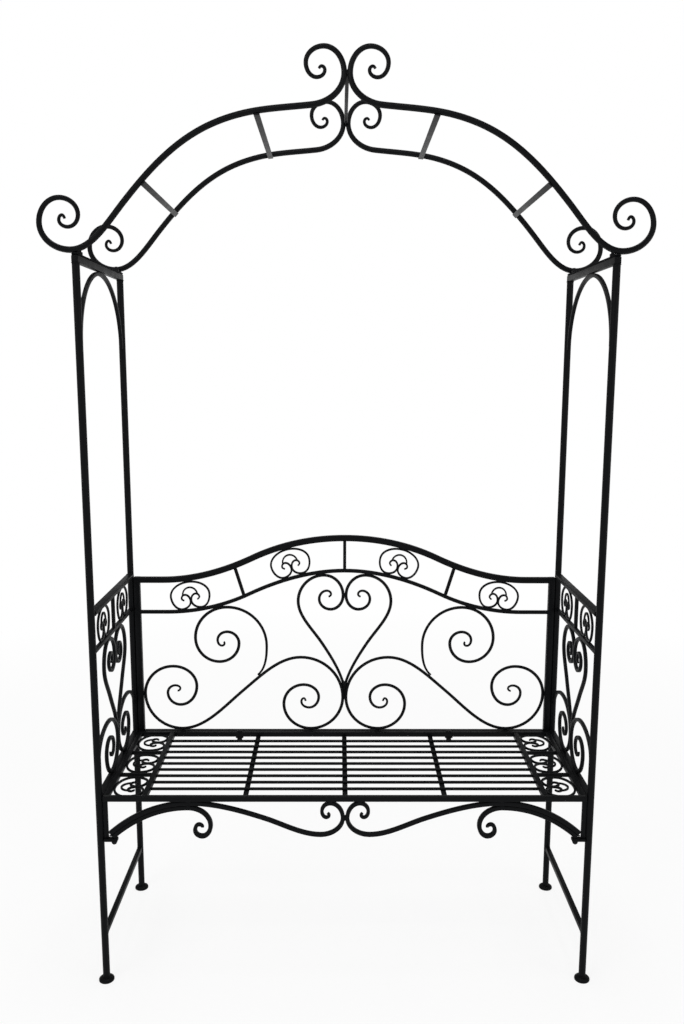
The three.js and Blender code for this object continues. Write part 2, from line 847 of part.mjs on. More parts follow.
// Apron under the front rail, drawn in its own plane for the left half
const apronOpening = {
  left: stripWidth - innerHalf,
  right: -(weldGap + apronBar) / 2,
  bottom: bracketTop,
  top: seatBottom - weldGap - apronBar / 2,
};
const apronStartHeading = 42;
const longBarShares = [
  [0.345, 1, RIGHT],
  [0.668, 0.5675, 341],
  [0.905, 0.102, RIGHT],
  [1, 0.579, UP],
  [0.947, 1, LEFT],
  [0.911, 0.770, DOWN, 0.9],
  [0.930, 0.597, RIGHT, 0.8],
  [0.942, 0.663, UP, 0.7],
  [0.936, 0.717, 130, 0.6],
];
const shortBarShares = [
  [0.341, 0.84, RIGHT],
  [0.436, 0.376, DOWN],
  [0.400, 0.060, LEFT],
  [0.3695, 0.233, UP, 0.9],
  [0.3866, 0.394, RIGHT, 0.8],
  [0.4018, 0.317, DOWN, 0.65],
];

// The long bar starts against the strip, the short one just above the foot of the bracket
const apronWay = direction(apronStartHeading);
const barSpacing = apronBar + barPairGap;
const longStart = {
  u: apronOpening.left + weldGap + apronWay.y * apronBar / 2,
  v: bracketTop + weldGap + apronWay.x * (apronBar / 2 + barSpacing),
  heading: apronStartHeading,
  size: 1,
};
const shortStart = {
  u: longStart.u + apronWay.y * barSpacing,
  v: longStart.v - apronWay.x * barSpacing,
  heading: apronStartHeading,
  size: 1,
};
const longBar = route([longStart, ...stopsIn(apronOpening, longBarShares)], apronBar, apronTolerance);

function shortBarAt(rise) {
  const stops = [shortStart, ...stopsIn(apronOpening, shortBarShares)];
  return route(raised(stops, 1, rise), apronBar, apronTolerance);
}

function shortBar() {
  return shortBarAt(valueThatTouches(0, shortBarAt, longBar));
}

// An upright strip with a foot turned towards the middle
function bracket(side) {
  const top = seatBottom - weldGap;
  const stripPlace = [side * (innerHalf - stripWidth / 2), 0, (top + bracketBottom) / 2];
  const strip = block(stripWidth, stripThickness, top - bracketBottom, stripPlace);
  const footPlace = [side * (innerHalf - bracketReach / 2), 0, (bracketTop + bracketBottom) / 2];
  const plate = block(bracketReach, bracketWidth, plateThickness, footPlace);
  return strip.add(plate).subtract(boltHole([side * apronBoltAcross, 0], bracketBottom, bracketTop));
}

function apron() {
  const group = new THREE.Group();
  const short = shortBar();
  const pieces = {
    left_apron_long_bar: uprightBar(longBar, squareShares),
    right_apron_long_bar: uprightBar(mirrored(longBar), squareShares),
    left_apron_short_bar: uprightBar(short, squareShares),
    right_apron_short_bar: uprightBar(mirrored(short), squareShares),
    left_apron_bracket: bracket(-1),
    right_apron_bracket: bracket(1),
  };
  Object.entries(pieces).forEach(([piece, solid]) => group.add(meshOf(piece, solid)));
  group.position.y = -postAlong;
  return group;
}

// Arch: one half bar, drawn for the left, as shares of half the post spacing and of the rise
const archFootScroll = [
  [-1.033, 0.180, 110, 0.45],
  [-1.043, 0.200, LEFT, 0.5],
  [-1.055, 0.172, DOWN, 0.55],
  [-1.024, 0.132, RIGHT, 0.6],
  [-0.984, 0.204, UP, 0.72],
  [-1.051, 0.300, LEFT, 0.8],
  [-1.128, 0.154, DOWN, 0.92],
  [-1.018, 0, RIGHT],
];
const archRun = [
  [-0.818, 0.272, 50],
  [-0.545, 0.672, 29],
  [-0.327, 0.791, 9],
  [-0.127, 0.825, 6],
];
const archCrownScroll = [
  [-0.0836, 1.146, LEFT, 0.8],
  [-0.148, 1.056, DOWN, 0.7],
  [-0.109, 0.976, RIGHT, 0.62],
  [-0.080, 1.015, UP, 0.55],
  [-0.092, 1.037, LEFT, 0.5],
  [-0.101, 1.024, 240, 0.42],
];
const archJointShare = 0.88;
const archFoot = sideTop + weldGap + baseStripThickness + weldGap + archBar / 2;
const archSpan = { left: 0, right: postAcross, bottom: archFoot, top: archFoot + archHeight };
const archJoint = {
  u: -(archBar * archJointShare + weldGap) / 2,
  v: archSpan.top,
  heading: UP,
  size: archJointShare,
};
const archFootStops = stopsIn(archSpan, archFootScroll);
const archClimbStops = [...archFootStops.slice(-1), ...stopsIn(archSpan, archRun), archJoint];
const archClimb = route(archClimbStops, archBar, archTolerance);
const archHalf = [
  ...route(archFootStops, archBar, archTolerance),
  ...archClimb.slice(1),
  ...route([archJoint, ...stopsIn(archSpan, archCrownScroll)], archBar, archTolerance).slice(1),
];

// Flat strip against the underside of the arch bars, square to their slope
const archStripShares = { lower: 0.749, upper: 0.327 };

function archStripAt(across, rise) {
  const { height, slope } = railAt(archClimb, across);
  const way = new THREE.Vector2(Math.cos(slope), Math.sin(slope));
  const drop = (archBar + archStripThickness) / 2 + weldGap;
  return [-1, 1].map((end) => ({
    u: across + way.y * drop + end * way.x * archStripWidth / 2,
    v: height - way.x * drop + end * way.y * archStripWidth / 2 + rise,
    tangent: way,
    half: archStripThickness / 2,
  }));
}

function archStrip(share) {
  const across = -share * postAcross;
  const rise = valueThatTouches(0, (value) => archStripAt(across, value), archClimb);
  return archStripAt(across, rise);
}

function archBase(side) {
  const length = frameDepth + archBar;
  const height = sideTop + weldGap + baseStripThickness / 2;
  return block(baseStripWidth, length, baseStripThickness, [side * postAcross, 0, height]);
}

// The tie stands between the front and rear pairs of bars where they meet in the middle
function archTie() {
  const half = archBar * archJointShare / 2;
  const outShare = roundShares[0][1];
  const acrossShare = (half + weldGap / 2 - tieDiameter / 2) / half;
  const reach = half * (1 - (1 - outShare) * acrossShare);
  const length = 2 * (postAlong - reach - weldGap);
  const geometry = new THREE.CylinderGeometry(tieDiameter / 2, tieDiameter / 2, length, roundSides);
  return solidOf(geometry.translate(0, 0, archJoint.v));
}

function arch() {
  const group = new THREE.Group();
  const length = frameDepth + archBar;
  const sides = { left: (stations) => stations, right: mirrored };
  Object.entries(sides).forEach(([name, place]) => {
    const bar = meshOf(`front_${name}_arch_bar`, uprightBar(place(archHalf), roundShares));
    const twin = meshOf(`rear_${name}_arch_bar`, uprightBar(place(archHalf), roundShares));
    bar.position.y = -postAlong;
    twin.position.y = postAlong;
    group.add(bar, twin);
    Object.entries(archStripShares).forEach(([level, share]) => {
      const strip = uprightBar(place(archStrip(share)), squareShares, length);
      group.add(meshOf(`${name}_${level}_arch_strip`, strip));
    });
  });
  group.add(meshOf('left_arch_base', archBase(-1)));
  group.add(meshOf('right_arch_base', archBase(1)));
  group.add(meshOf('arch_tie', archTie()));
  return group;
}

// Bolts: a low dome, as shares of its radius and height, a shank and a nut
const domeShares = [[0, 0], [1, 0], [1, 0.3], [0.75, 0.85], [0.35, 1], [0, 1]];

function dome(diameter, height, place) {
  const outline = domeShares.map(([across, up]) => [across * diameter / 2, up * height]);
  return turned(outline, roundSides, place);
}

function domeBelow(diameter, height, place) {
  const outline = domeShares.map(([across, up]) => [across * diameter / 2, -up * height]);
  return turned(outline.reverse(), roundSides, place);
}

function seatBolt(side) {
  const place = [side * seatBoltAcross, seatRearAlong];
  const headFoot = seatTop + weldGap;
  const nutTop = seatTabBottom - weldGap;
  const nutFoot = nutTop - nutHeight;
  const nutCorners = nutAcross / Math.cos(Math.PI / nutSides);
  const head = dome(boltHeadDiameter, boltHead, [...place, headFoot]);
  const shank = roundBar(boltDiameter, nutFoot - boltTail, headFoot + boltHead / 2, place);
  return joined([head, shank, roundBar(nutCorners, nutFoot, nutTop, place, nutSides)]);
}

function apronBolt(side) {
  const place = [side * apronBoltAcross, -postAlong];
  const capTop = tabBottom - weldGap;
  const shank = roundBar(boltDiameter, capTop - capHeight / 2, bracketTop, place);
  return shank.add(domeBelow(nutAcross, capHeight, [...place, capTop]));
}

function bench() {
  const group = new THREE.Group();
  group.name = 'arbor_bench';
  const seat = {
    seat_front_rail: seatRail(-postAlong),
    seat_rear_rail: seatRearRail(),
    left_seat_end: seatEnd(-1),
    right_seat_end: seatEnd(1),
    slat_grid: slatGrid(),
    left_seat_bolt: seatBolt(-1),
    right_seat_bolt: seatBolt(1),
    left_apron_bolt: apronBolt(-1),
    right_apron_bolt: apronBolt(1),
  };
  Object.entries(seat).forEach(([piece, solid]) => group.add(meshOf(piece, solid)));
  group.add(sideFrame(-1, 'left'), sideFrame(1, 'right'), backPanel(), apron(), arch());
  return group;
}

export default bench();
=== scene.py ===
# %% [markdown]
# # A scrolled arbor bench in black powder-coated steel
# The bench is a welded garden seat: two side frames of round tube, a back and an apron of bent
# bar, a slatted seat, and an arch that runs overhead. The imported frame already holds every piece
# at its real size. This lesson dresses it: each faceted solid gets a smooth, finished piece in
# its place, and each piece is made the way a smith or a welder would think of it.

# %% Load the frame
import math

import bpy
from mathutils import Matrix, Vector
from mathutils.geometry import interpolate_bezier


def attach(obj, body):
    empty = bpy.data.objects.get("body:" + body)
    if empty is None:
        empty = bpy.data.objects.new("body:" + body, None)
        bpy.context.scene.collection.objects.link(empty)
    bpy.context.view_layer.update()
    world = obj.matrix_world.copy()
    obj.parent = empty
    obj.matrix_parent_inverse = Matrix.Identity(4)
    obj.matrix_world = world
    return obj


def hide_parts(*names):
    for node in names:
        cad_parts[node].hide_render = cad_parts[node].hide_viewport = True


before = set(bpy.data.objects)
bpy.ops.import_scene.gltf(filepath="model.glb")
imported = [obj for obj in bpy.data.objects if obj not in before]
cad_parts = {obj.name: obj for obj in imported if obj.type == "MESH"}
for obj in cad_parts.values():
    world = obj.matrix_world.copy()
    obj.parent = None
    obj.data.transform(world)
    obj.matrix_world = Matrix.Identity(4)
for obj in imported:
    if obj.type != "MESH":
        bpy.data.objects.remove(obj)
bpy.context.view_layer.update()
print("nodes in the frame:", len(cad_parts))

# %% [markdown]
# Workshop drawings are in millimetres and Blender works in metres, so every size below is
# written in millimetres and one factor turns it to metres. The main sizes are the ones that the
# frame was built to, so that each new piece lands on its solid.

# %% Main sizes
MM = 0.001
HALF_SPACING = 550
HALF_DEPTH = 194
SIDE_TOP = 1620.5
ARM_TOP = 875.5
SEAT_TOP = 453
WELD_GAP = 0.3
SIDE_GAP = 0.5
POST_DIAMETER = 16
TUBE_WALL = 1.5
SEAT_RAIL = 12
BACK_RAIL = 15
PLATE = 3
INNER_HALF = HALF_SPACING - POST_DIAMETER / 2 - SIDE_GAP
SIDE_HALF = HALF_DEPTH - POST_DIAMETER / 2 - WELD_GAP
SEAT_BOTTOM = SEAT_TOP - SEAT_RAIL
SEAT_MIDDLE = SEAT_TOP - SEAT_RAIL / 2
print("clear width between the side frames:", 2 * INNER_HALF, "mm")

# %% [markdown]
# ## The finish: powder coat over mild steel
# Powder coat is a dry polyester paint, charged so that it clings to the steel and then baked
# into a skin about a tenth of a millimetre thick. It is plastic, not bare metal, so it is a
# dielectric with a soft, wide highlight. Up close it has orange peel: shallow waves about a
# millimetre apart. Upward faces are mixed a little greyer, partly for the rain and dust that
# settle there and partly as painted top light. One small function adds a node, sets its values
# and wires it, and every material is built with it.

# %% Colours and one function that adds a node


def linear(hex_colour):
    """Turns an sRGB hex colour into the linear colour that shaders use."""
    channels = [int(hex_colour[at:at + 2], 16) / 255 for at in (1, 3, 5)]
    return [c / 12.92 if c <= 0.04045 else ((c + 0.055) / 1.055) ** 2.4 for c in channels] + [1.0]


def empty_tree(owner):
    """The node tree of a material or a world, cleared of the nodes that it starts with."""
    owner.use_nodes = True
    owner.node_tree.nodes.clear()
    return owner.node_tree


def add_node(tree, kind, settings=None, values=None, links=None):
    """Adds a node of a kind, sets its options and inputs, and wires other nodes' outputs to it."""
    node = tree.nodes.new(kind)
    for option, value in (settings or {}).items():
        setattr(node, option, value)
    for socket, value in (values or {}).items():
        node.inputs[socket].default_value = value
    for socket, output in (links or {}).items():
        tree.links.new(output, node.inputs[socket])
    return node


COAT_BLACK = "#0a0b0d"
# the grey of dust and painted top light, mixed into upward faces
DUST_AND_TOP_LIGHT_GREY = "#1d1d1c"
BOLT_BLACK = "#111113"
print("coat black in linear light:", [round(c, 4) for c in linear(COAT_BLACK)])

# %% [markdown]
# The orange peel of the real coat is about 1.2 mm from wave to wave. That is just too fine for
# the whole bench in one picture, so it is kept at its true scale for close views and given a
# second, broader wave of about 6 mm that the runs and sags of a thick coat leave on bent bar.
# Both only bend the highlight. Roughness wanders a little as well, as it does after a season
# outdoors, and a thin grey on faces that point up is dust and painted top light.

# %% Powder coat material
# each pattern of the coat: the width of one wave in mm, its detail and its raggedness
COAT_WAVES = {"peel": (1.2, 1.0, 0.4), "sag": (6, 2.0, 0.5), "film": (45, 4.0, 0.6)}
# how strongly the waves of peel and sag bend the light, and how high they are in mm
PEEL_STRENGTH = 0.18
PEEL_HEIGHT = 0.12
SAG_STRENGTH = 0.25
SAG_HEIGHT = 0.35
# how far up a face has to point before it takes the grey of dust and painted top light
DUST_AND_TOP_LIGHT_SLOPE = 0.25
# between these two values of its pattern the film takes the roughness down and up
FILM_LOW = 0.3
FILM_HIGH = 0.7
FILM_SMOOTHS = 0.05
FILM_ROUGHENS = 0.07
COAT_IOR = 1.45
COAT_SHEEN = 0.09


def powder_coat(name, colour, roughness, dust_and_top_light_share, sheen=COAT_SHEEN):
    """A baked polyester skin: dark, semi-gloss, finely rippled, and lightly greyed on top by dust and
    painted top light.
    """
    material = bpy.data.materials.new(name)
    tree = empty_tree(material)
    place = add_node(tree, "ShaderNodeTexCoord").outputs["Object"]
    patterns = {}
    for pattern, (wave, detail, raggedness) in COAT_WAVES.items():
        noise = add_node(tree, "ShaderNodeTexNoise",
                         values={"Scale": 1 / (wave * MM), "Detail": detail, "Roughness": raggedness},
                         links={"Vector": place})
        patterns[pattern] = noise.outputs["Fac"]
    fine_bump = add_node(tree, "ShaderNodeBump",
                         values={"Strength": PEEL_STRENGTH, "Distance": PEEL_HEIGHT * MM},
                         links={"Height": patterns["peel"]})
    bump = add_node(tree, "ShaderNodeBump",
                    values={"Strength": SAG_STRENGTH, "Distance": SAG_HEIGHT * MM},
                    links={"Height": patterns["sag"], "Normal": fine_bump.outputs["Normal"]})
    surface = add_node(tree, "ShaderNodeNewGeometry")
    facing = add_node(tree, "ShaderNodeSeparateXYZ", links={"Vector": surface.outputs["Normal"]})
    # upward faces are mixed grey: part dust, part painted top light
    upward = add_node(tree, "ShaderNodeMapRange",
                      values={"From Min": DUST_AND_TOP_LIGHT_SLOPE, "From Max": 1.0, "To Min": 0.0, "To Max": dust_and_top_light_share},
                      links={"Value": facing.outputs["Z"]})
    dust_and_top_light = add_node(tree, "ShaderNodeMath", {"operation": "MULTIPLY"},
                       links={0: upward.outputs["Result"], 1: patterns["film"]})
    # a mix of colours takes them in sockets 6 and 7 and gives its result in socket 2
    dust_and_top_lit_colour = add_node(tree, "ShaderNodeMix", {"data_type": "RGBA"},
                      values={6: linear(colour), 7: linear(DUST_AND_TOP_LIGHT_GREY)},
                      links={"Factor": dust_and_top_light.outputs["Value"]})
    gloss = add_node(tree, "ShaderNodeMapRange",
                     values={"From Min": FILM_LOW, "From Max": FILM_HIGH,
                             "To Min": roughness - FILM_SMOOTHS, "To Max": roughness + FILM_ROUGHENS},
                     links={"Value": patterns["film"]})
    skin = add_node(tree, "ShaderNodeBsdfPrincipled",
                    values={"IOR": COAT_IOR, "Metallic": 0.0, "Specular IOR Level": sheen},
                    links={"Base Color": dust_and_top_lit_colour.outputs[2],
                           "Roughness": gloss.outputs["Result"],
                           "Normal": bump.outputs["Normal"]})
    add_node(tree, "ShaderNodeOutputMaterial", links={"Surface": skin.outputs["BSDF"]})
    return material


print("patterns of the coat, with their waves in mm:", {name: row[0] for name, row in COAT_WAVES.items()})

# %% [markdown]
# One coat looks different from piece to piece. On the flat strips of the arch it lies smooth and
# mirrors the most, so they are the lightest bars of the bench. On the sheared base strips it is
# thin and dull, which keeps them nearly as dark as the rails below. The bolts have the hard
# black of plated steel. They are made by the same recipe, with a tighter highlight than paint.

# %% The four finishes
STRIP_SHEEN = 0.13
EDGE_SHEEN = 0.015
# baked polyester on tube and bent bar: a deep black with a soft, wide highlight
coat = powder_coat("black_powder_coat", COAT_BLACK, roughness=0.46, dust_and_top_light_share=0.2)
# the same coat on flat bar: smoother, so it catches the most light
strip_coat = powder_coat("black_powder_coat_on_flat_bar", COAT_BLACK, roughness=0.42,
                         dust_and_top_light_share=0.3, sheen=STRIP_SHEEN)
# the same coat on sheared edges: thin and matt, so it stays dark
edge_coat = powder_coat("black_powder_coat_on_sheared_edge", COAT_BLACK, roughness=0.62,
                        dust_and_top_light_share=0.3, sheen=EDGE_SHEEN)
# blackened bolts: a little greyer and glossier than the coat
bolt_finish = powder_coat("blackened_bolt_steel", BOLT_BLACK, roughness=0.36, dust_and_top_light_share=0.3)
for finish in (coat, strip_coat, edge_coat, bolt_finish):
    print("finish:", finish.name)

# %% [markdown]
# ## Helpers for handling pieces
# An operator acts on whatever is selected, and the frame leaves its solids selected. So each
# hand movement starts by clearing the selection, and then picks up one piece or some of its
# faces. Faces are chosen by the way they point, as the eye would choose them.

# %% Pick up a piece or some of its faces


def clear_selection():
    bpy.ops.object.select_all(action="DESELECT")


def select_only(piece):
    clear_selection()
    piece.select_set(True)
    bpy.context.view_layer.objects.active = piece


def edit_all(piece):
    """Opens a piece in edit mode with every face on it selected."""
    select_only(piece)
    bpy.ops.object.mode_set(mode="EDIT")
    bpy.ops.mesh.select_mode(type="FACE")
    bpy.ops.mesh.select_all(action="SELECT")


def leave_edit():
    bpy.ops.object.mode_set(mode="OBJECT")


def edit_faces(piece, wanted):
    """Opens a piece in edit mode with only the faces selected that are wanted."""
    edit_all(piece)
    bpy.ops.mesh.select_all(action="DESELECT")
    leave_edit()
    for face in piece.data.polygons:
        face.select = wanted(face)
    bpy.ops.object.mode_set(mode="EDIT")


clear_selection()
print("selected before the first piece:", len(bpy.context.selected_objects))

# %% [markdown]
# A piece is frozen in its place, so that its object sits unturned at the origin and the place is
# in its mesh. A twin gets a mesh of its own. A mirror image can come out inside out, so its
# doubled points are merged and its faces are turned outwards again.

# %% Place, copy and join
DOUBLED = 0.002
MIRRORED = (-1, 1, 1)


def close_up(piece):
    """Merges doubled points and turns every face outwards."""
    edit_all(piece)
    bpy.ops.mesh.remove_doubles(threshold=DOUBLED * MM)
    bpy.ops.mesh.normals_make_consistent(inside=False)
    leave_edit()
    return piece


def freeze(piece, move=(0, 0, 0), turn=(0, 0, 0), scale=(1, 1, 1)):
    """Moves in mm and turns in degrees, then writes the place into the mesh."""
    select_only(piece)
    piece.location = piece.location + Vector(move) * MM
    piece.rotation_euler = [math.radians(angle) for angle in turn]
    piece.scale = scale
    bpy.ops.object.transform_apply(location=True, rotation=True, scale=True)
    return piece


def twin(piece, move=(0, 0, 0), turn=(0, 0, 0), scale=(1, 1, 1)):
    """A copy with a mesh of its own, moved, turned or mirrored."""
    copy = piece.copy()
    copy.data = piece.data.copy()
    bpy.context.collection.objects.link(copy)
    freeze(copy, move, turn, scale)
    if min(scale) < 0:
        close_up(copy)
    return copy


def join(pieces):
    """Makes one object of several."""
    clear_selection()
    for piece in pieces:
        piece.select_set(True)
    bpy.context.view_layer.objects.active = pieces[0]
    bpy.ops.object.join()
    return pieces[0]


print("points closer than", DOUBLED, "mm are merged")

# %% [markdown]
# A finished piece gets its coat and smooth shading, except where two faces meet at more than 40
# degrees, so that cut ends stay crisp.

# %% Hand over
SMOOTH_ANGLE = 40
finished = []


def add_piece(piece, name, finish):
    """Names, coats and smooths a piece, and says how it rides."""
    piece.name = name
    piece.data.materials.clear()
    piece.data.materials.append(finish)
    select_only(piece)
    bpy.ops.object.shade_smooth_by_angle(angle=math.radians(SMOOTH_ANGLE))
    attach(piece, "root")
    finished.append(piece)
    print("finished:", name, "with", len(piece.data.polygons), "faces")


def hand_over(piece, node, finish=coat):
    """Lets a finished piece stand for its node in the frame."""
    add_piece(piece, node + "_steel", finish)
    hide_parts(node)


def hand_over_pair(piece, node, finish=coat):
    """Hands over a left piece and its mirror image on the right."""
    right = twin(piece, scale=MIRRORED)
    hand_over(piece, "left_" + node, finish)
    hand_over(right, "right_" + node, finish)


print("pieces finished so far:", len(finished))

# %% [markdown]
# ## Straight stock
# Tube and flat bar come from the mill with rounded corners: about 1.5 mm on a thin-walled square
# tube and half a millimetre on flat bar. A cube is scaled to size, its edges are bevelled,
# and where an end is left open the end face is inset by the wall and pushed inwards. A sharp
# cube would show no highlight along its edges, and that line of light is what says steel.

# %% Square and flat stock
TUBE_CORNER = 1.5
BAR_CORNER = 0.8
FLAT_CORNER = 0.5
CORNER_SEGMENTS = 3
MOUTH_DEPTH = 60
# the rim of an open tube is thin, so its corners are rounded less
MOUTH_CORNER_SHARE = 0.5
# a face points a certain way when its normal agrees with that way up to this cosine
SAME_WAY = 0.999


def bevel_edges(piece, width, segments=CORNER_SEGMENTS):
    select_only(piece)
    bevel = piece.modifiers.new("corner", "BEVEL")
    bevel.width = width * MM
    bevel.segments = segments
    bevel.limit_method = "ANGLE"
    bpy.ops.object.modifier_apply(modifier=bevel.name)


def stock(size, centre, corner=TUBE_CORNER, open_way=None):
    """A straight bar or tube of a size, with one end hollowed out if asked."""
    clear_selection()
    bpy.ops.mesh.primitive_cube_add(size=1)
    bar = bpy.context.object
    freeze(bar, centre, scale=[side * MM for side in size])
    if open_way is not None:
        edit_faces(bar, lambda face: face.normal.dot(Vector(open_way)) > SAME_WAY)
        bpy.ops.mesh.inset(thickness=TUBE_WALL * MM)
        inwards = -Vector(open_way) * MOUTH_DEPTH * MM
        bpy.ops.mesh.extrude_region_move(TRANSFORM_OT_translate={"value": inwards})
        leave_edit()
    bevel_edges(bar, corner if open_way is None else corner * MOUTH_CORNER_SHARE)
    return bar


print("corners of tube, solid bar and flat bar:", TUBE_CORNER, BAR_CORNER, FLAT_CORNER, "mm")

# %% [markdown]
# Round tube and rod start as a cylinder. A tube's two end faces are inset by the wall and
# bridged, which opens it from end to end. A solid rod has its ends eased with a small bevel,
# as a file would leave them.

# %% Round stock
ROUND_SIDES = 48
SLIM_SIDES = 24
ROD_EASE = 0.6
EASE_SEGMENTS = 2


def cylinder(diameter, height, sides):
    """A plain round blank about the origin, in mm."""
    clear_selection()
    bpy.ops.mesh.primitive_cylinder_add(vertices=sides, radius=diameter / 2 * MM, depth=height * MM)
    return bpy.context.object


def rod(diameter, length, centre, turn=(0, 0, 0), ease=ROD_EASE):
    """A solid round rod, standing on Z before it is turned."""
    bar = freeze(cylinder(diameter, length, SLIM_SIDES), centre, turn)
    bevel_edges(bar, ease, EASE_SEGMENTS)
    return bar


def round_tube(diameter, low, high, place):
    """An open tube between two heights."""
    tube = cylinder(diameter, high - low, ROUND_SIDES)
    edit_faces(tube, lambda face: abs(face.normal.z) > SAME_WAY)
    bpy.ops.mesh.inset(thickness=TUBE_WALL * MM)
    bpy.ops.mesh.bridge_edge_loops()
    leave_edit()
    return freeze(tube, (*place, (low + high) / 2))


print("facets round a tube and round a rod:", ROUND_SIDES, SLIM_SIDES)

# %% [markdown]
# ## Bent bar
# Scrolls are bent cold round a former, and their tips are drawn out thin first. A smith sees a
# scroll as a few places where the bar runs level or plumb, with even bends between them. A
# Bezier curve can say exactly that: each point has a place, a heading and a thickness. The
# handles are as long as a true arc needs, so a quarter turn comes out round.

# %% Stops, headings and handles
RIGHT, UP, LEFT, DOWN = 0, 90, 180, 270
EVEN_PULL = 0.5
LEAST_TURN = 0.02


def way_of(heading):
    return Vector((math.cos(math.radians(heading)), math.sin(math.radians(heading)), 0))


def handle_pull(turn):
    """The handle length, as a share of the reach along it, that makes a round bend."""
    if turn < LEAST_TURN:
        return EVEN_PULL
    return 4 / 3 * math.tan(turn / 4) / math.sin(turn)


def bend_handles(here, there):
    """The two handle points, in mm, that make an even bend from one stop to the next."""
    start, finish = (Vector((stop[0], stop[1], 0)) for stop in (here, there))
    leaving, arriving = way_of(here[2]), way_of(there[2])
    chord = finish - start
    pull = handle_pull(leaving.angle(arriving, 0))
    return (start + leaving * abs(chord.dot(leaving)) * pull,
            finish - arriving * abs(chord.dot(arriving)) * pull)


def stops_in(opening, shares):
    """Turns shares of a panel opening into stops: across, up, heading and thickness share."""
    left, right, bottom, top = opening
    stops = []
    for across, up, heading, *size in shares:
        stops.append((left + across * (right - left), bottom + up * (top - bottom), heading,
                      size[0] if size else 1))
    return stops


def raised(stop, rise):
    """The same stop, a little higher or lower."""
    across, up, *rest = stop
    return across, up + rise, *rest


def both_halves(stops):
    """Adds the mirror image of half a bar, walked back from the middle, so it is one bar."""
    return stops + [(-u, v, -heading, size) for u, v, heading, size in reversed(stops[:-1])]


print("a quarter turn pulls its handles by", round(handle_pull(math.pi / 2), 4))

# %% [markdown]
# Round bar gets its section from the curve's own bevel depth. Square bar needs an outline to
# sweep along the curve, and its corners are cut soft, because a bent bar never has a knife edge.
# The curve is made a mesh once its shape is right, with its ends closed.

# %% From stops to a bent bar
BEND_STEPS = 16
ROUND_RESOLUTION = 2
CORNER_SHARE = 0.16
CORNER_CUT = 0.6


def section(thickness):
    """The outline of square bar with soft corners, as a closed curve."""
    clear_selection()
    bpy.ops.curve.primitive_bezier_circle_add(radius=1)
    outline = bpy.context.object
    spline = outline.data.splines[0]
    spline.type = "POLY"
    half = thickness / 2 * MM
    inner = half * (1 - 2 * CORNER_SHARE)
    middle = half - half * CORNER_SHARE * CORNER_CUT
    ring = []
    for quarter in range(4):
        spin = Matrix.Rotation(quarter * math.pi / 2, 2)
        ring += [spin @ Vector(point) for point in ((half, inner), (middle, middle), (inner, half))]
    spline.points.add(len(ring) - len(spline.points))
    for point, place in zip(spline.points, ring):
        point.co = (place.x, place.y, 0, 1)
    spline.use_cyclic_u = True
    return outline


def bent_bar(stops, thickness, square=False, steps=BEND_STEPS):
    """A bar along the stops, drawn flat in local X and Y and made a mesh."""
    outline = section(thickness) if square else None
    clear_selection()
    bpy.ops.curve.primitive_bezier_curve_add()
    bar = bpy.context.object
    curve = bar.data
    curve.dimensions = "3D"
    curve.twist_mode = "Z_UP"
    curve.use_fill_caps = True
    spline = curve.splines[0]
    spline.resolution_u = steps
    spline.bezier_points.add(len(stops) - len(spline.bezier_points))
    bends = [bend_handles(here, there) for here, there in zip(stops, stops[1:])]
    for at, (point, stop) in enumerate(zip(spline.bezier_points, stops)):
        place = Vector((stop[0], stop[1], 0))
        beyond = way_of(stop[2]) * thickness / 2
        point.handle_left_type = point.handle_right_type = "FREE"
        point.co = place * MM
        point.handle_left = (bends[at - 1][1] if at > 0 else place - beyond) * MM
        point.handle_right = (bends[at][0] if at < len(bends) else place + beyond) * MM
        point.radius = stop[3]
    if outline is None:
        curve.bevel_depth = thickness / 2 * MM
        curve.bevel_resolution = ROUND_RESOLUTION
    else:
        curve.bevel_mode = "OBJECT"
        curve.bevel_object = outline
    select_only(bar)
    bpy.ops.object.convert(target="MESH")
    bar = bpy.context.object
    if outline is not None:
        bpy.data.objects.remove(outline)
    return close_up(bar)


def upright(piece, along=0):
    """Stands a flat drawing up, facing the front, in the plane at a depth."""
    return freeze(piece, (0, along, 0), (90, 0, 0))


print("steps in each bend:", BEND_STEPS)

# %% [markdown]
# ## The side frames
# Each side is a ladder of two round tubes with rails between them. The parts are alike left
# and right, so each is made once on the left and mirrored. The posts stand on round feet: a
# pressed plate with a raised crown that takes the tube.

# %% Posts and feet
FOOT_DIAMETER = 35
FOOT_THICKNESS = 9
FOOT_RIM = 5
FOOT_CROWN = 24
FOOT_EASE = 1.4
TOP_RAIL = 14
POST_TOP = SIDE_TOP - TOP_RAIL - WELD_GAP
LEFT_SIDE = -HALF_SPACING


def foot(along):
    """A round plate whose top face is drawn in and pulled up to a crown."""
    plate = freeze(cylinder(FOOT_DIAMETER, FOOT_RIM, ROUND_SIDES), (0, 0, FOOT_RIM / 2))
    edit_faces(plate, lambda face: face.normal.z > SAME_WAY)
    slope_width = (FOOT_DIAMETER - FOOT_CROWN) / 2
    bpy.ops.mesh.inset(thickness=slope_width * MM, depth=(FOOT_THICKNESS - FOOT_RIM) * MM)
    leave_edit()
    bevel_edges(plate, FOOT_EASE)
    return freeze(plate, (LEFT_SIDE, along, 0))


def post(along):
    return round_tube(POST_DIAMETER, FOOT_THICKNESS + WELD_GAP, POST_TOP, (LEFT_SIDE, along))


hand_over_pair(foot(-HALF_DEPTH), "front_foot")
hand_over_pair(foot(HALF_DEPTH), "rear_foot")
hand_over_pair(post(HALF_DEPTH), "rear_post")
print("post height:", POST_TOP, "mm")

# %% [markdown]
# The front post also carries a small welded tab that the apron's bracket is bolted to. It is a
# short piece of flat bar, joined to the tube because the welder does the same before the frame
# is coated.

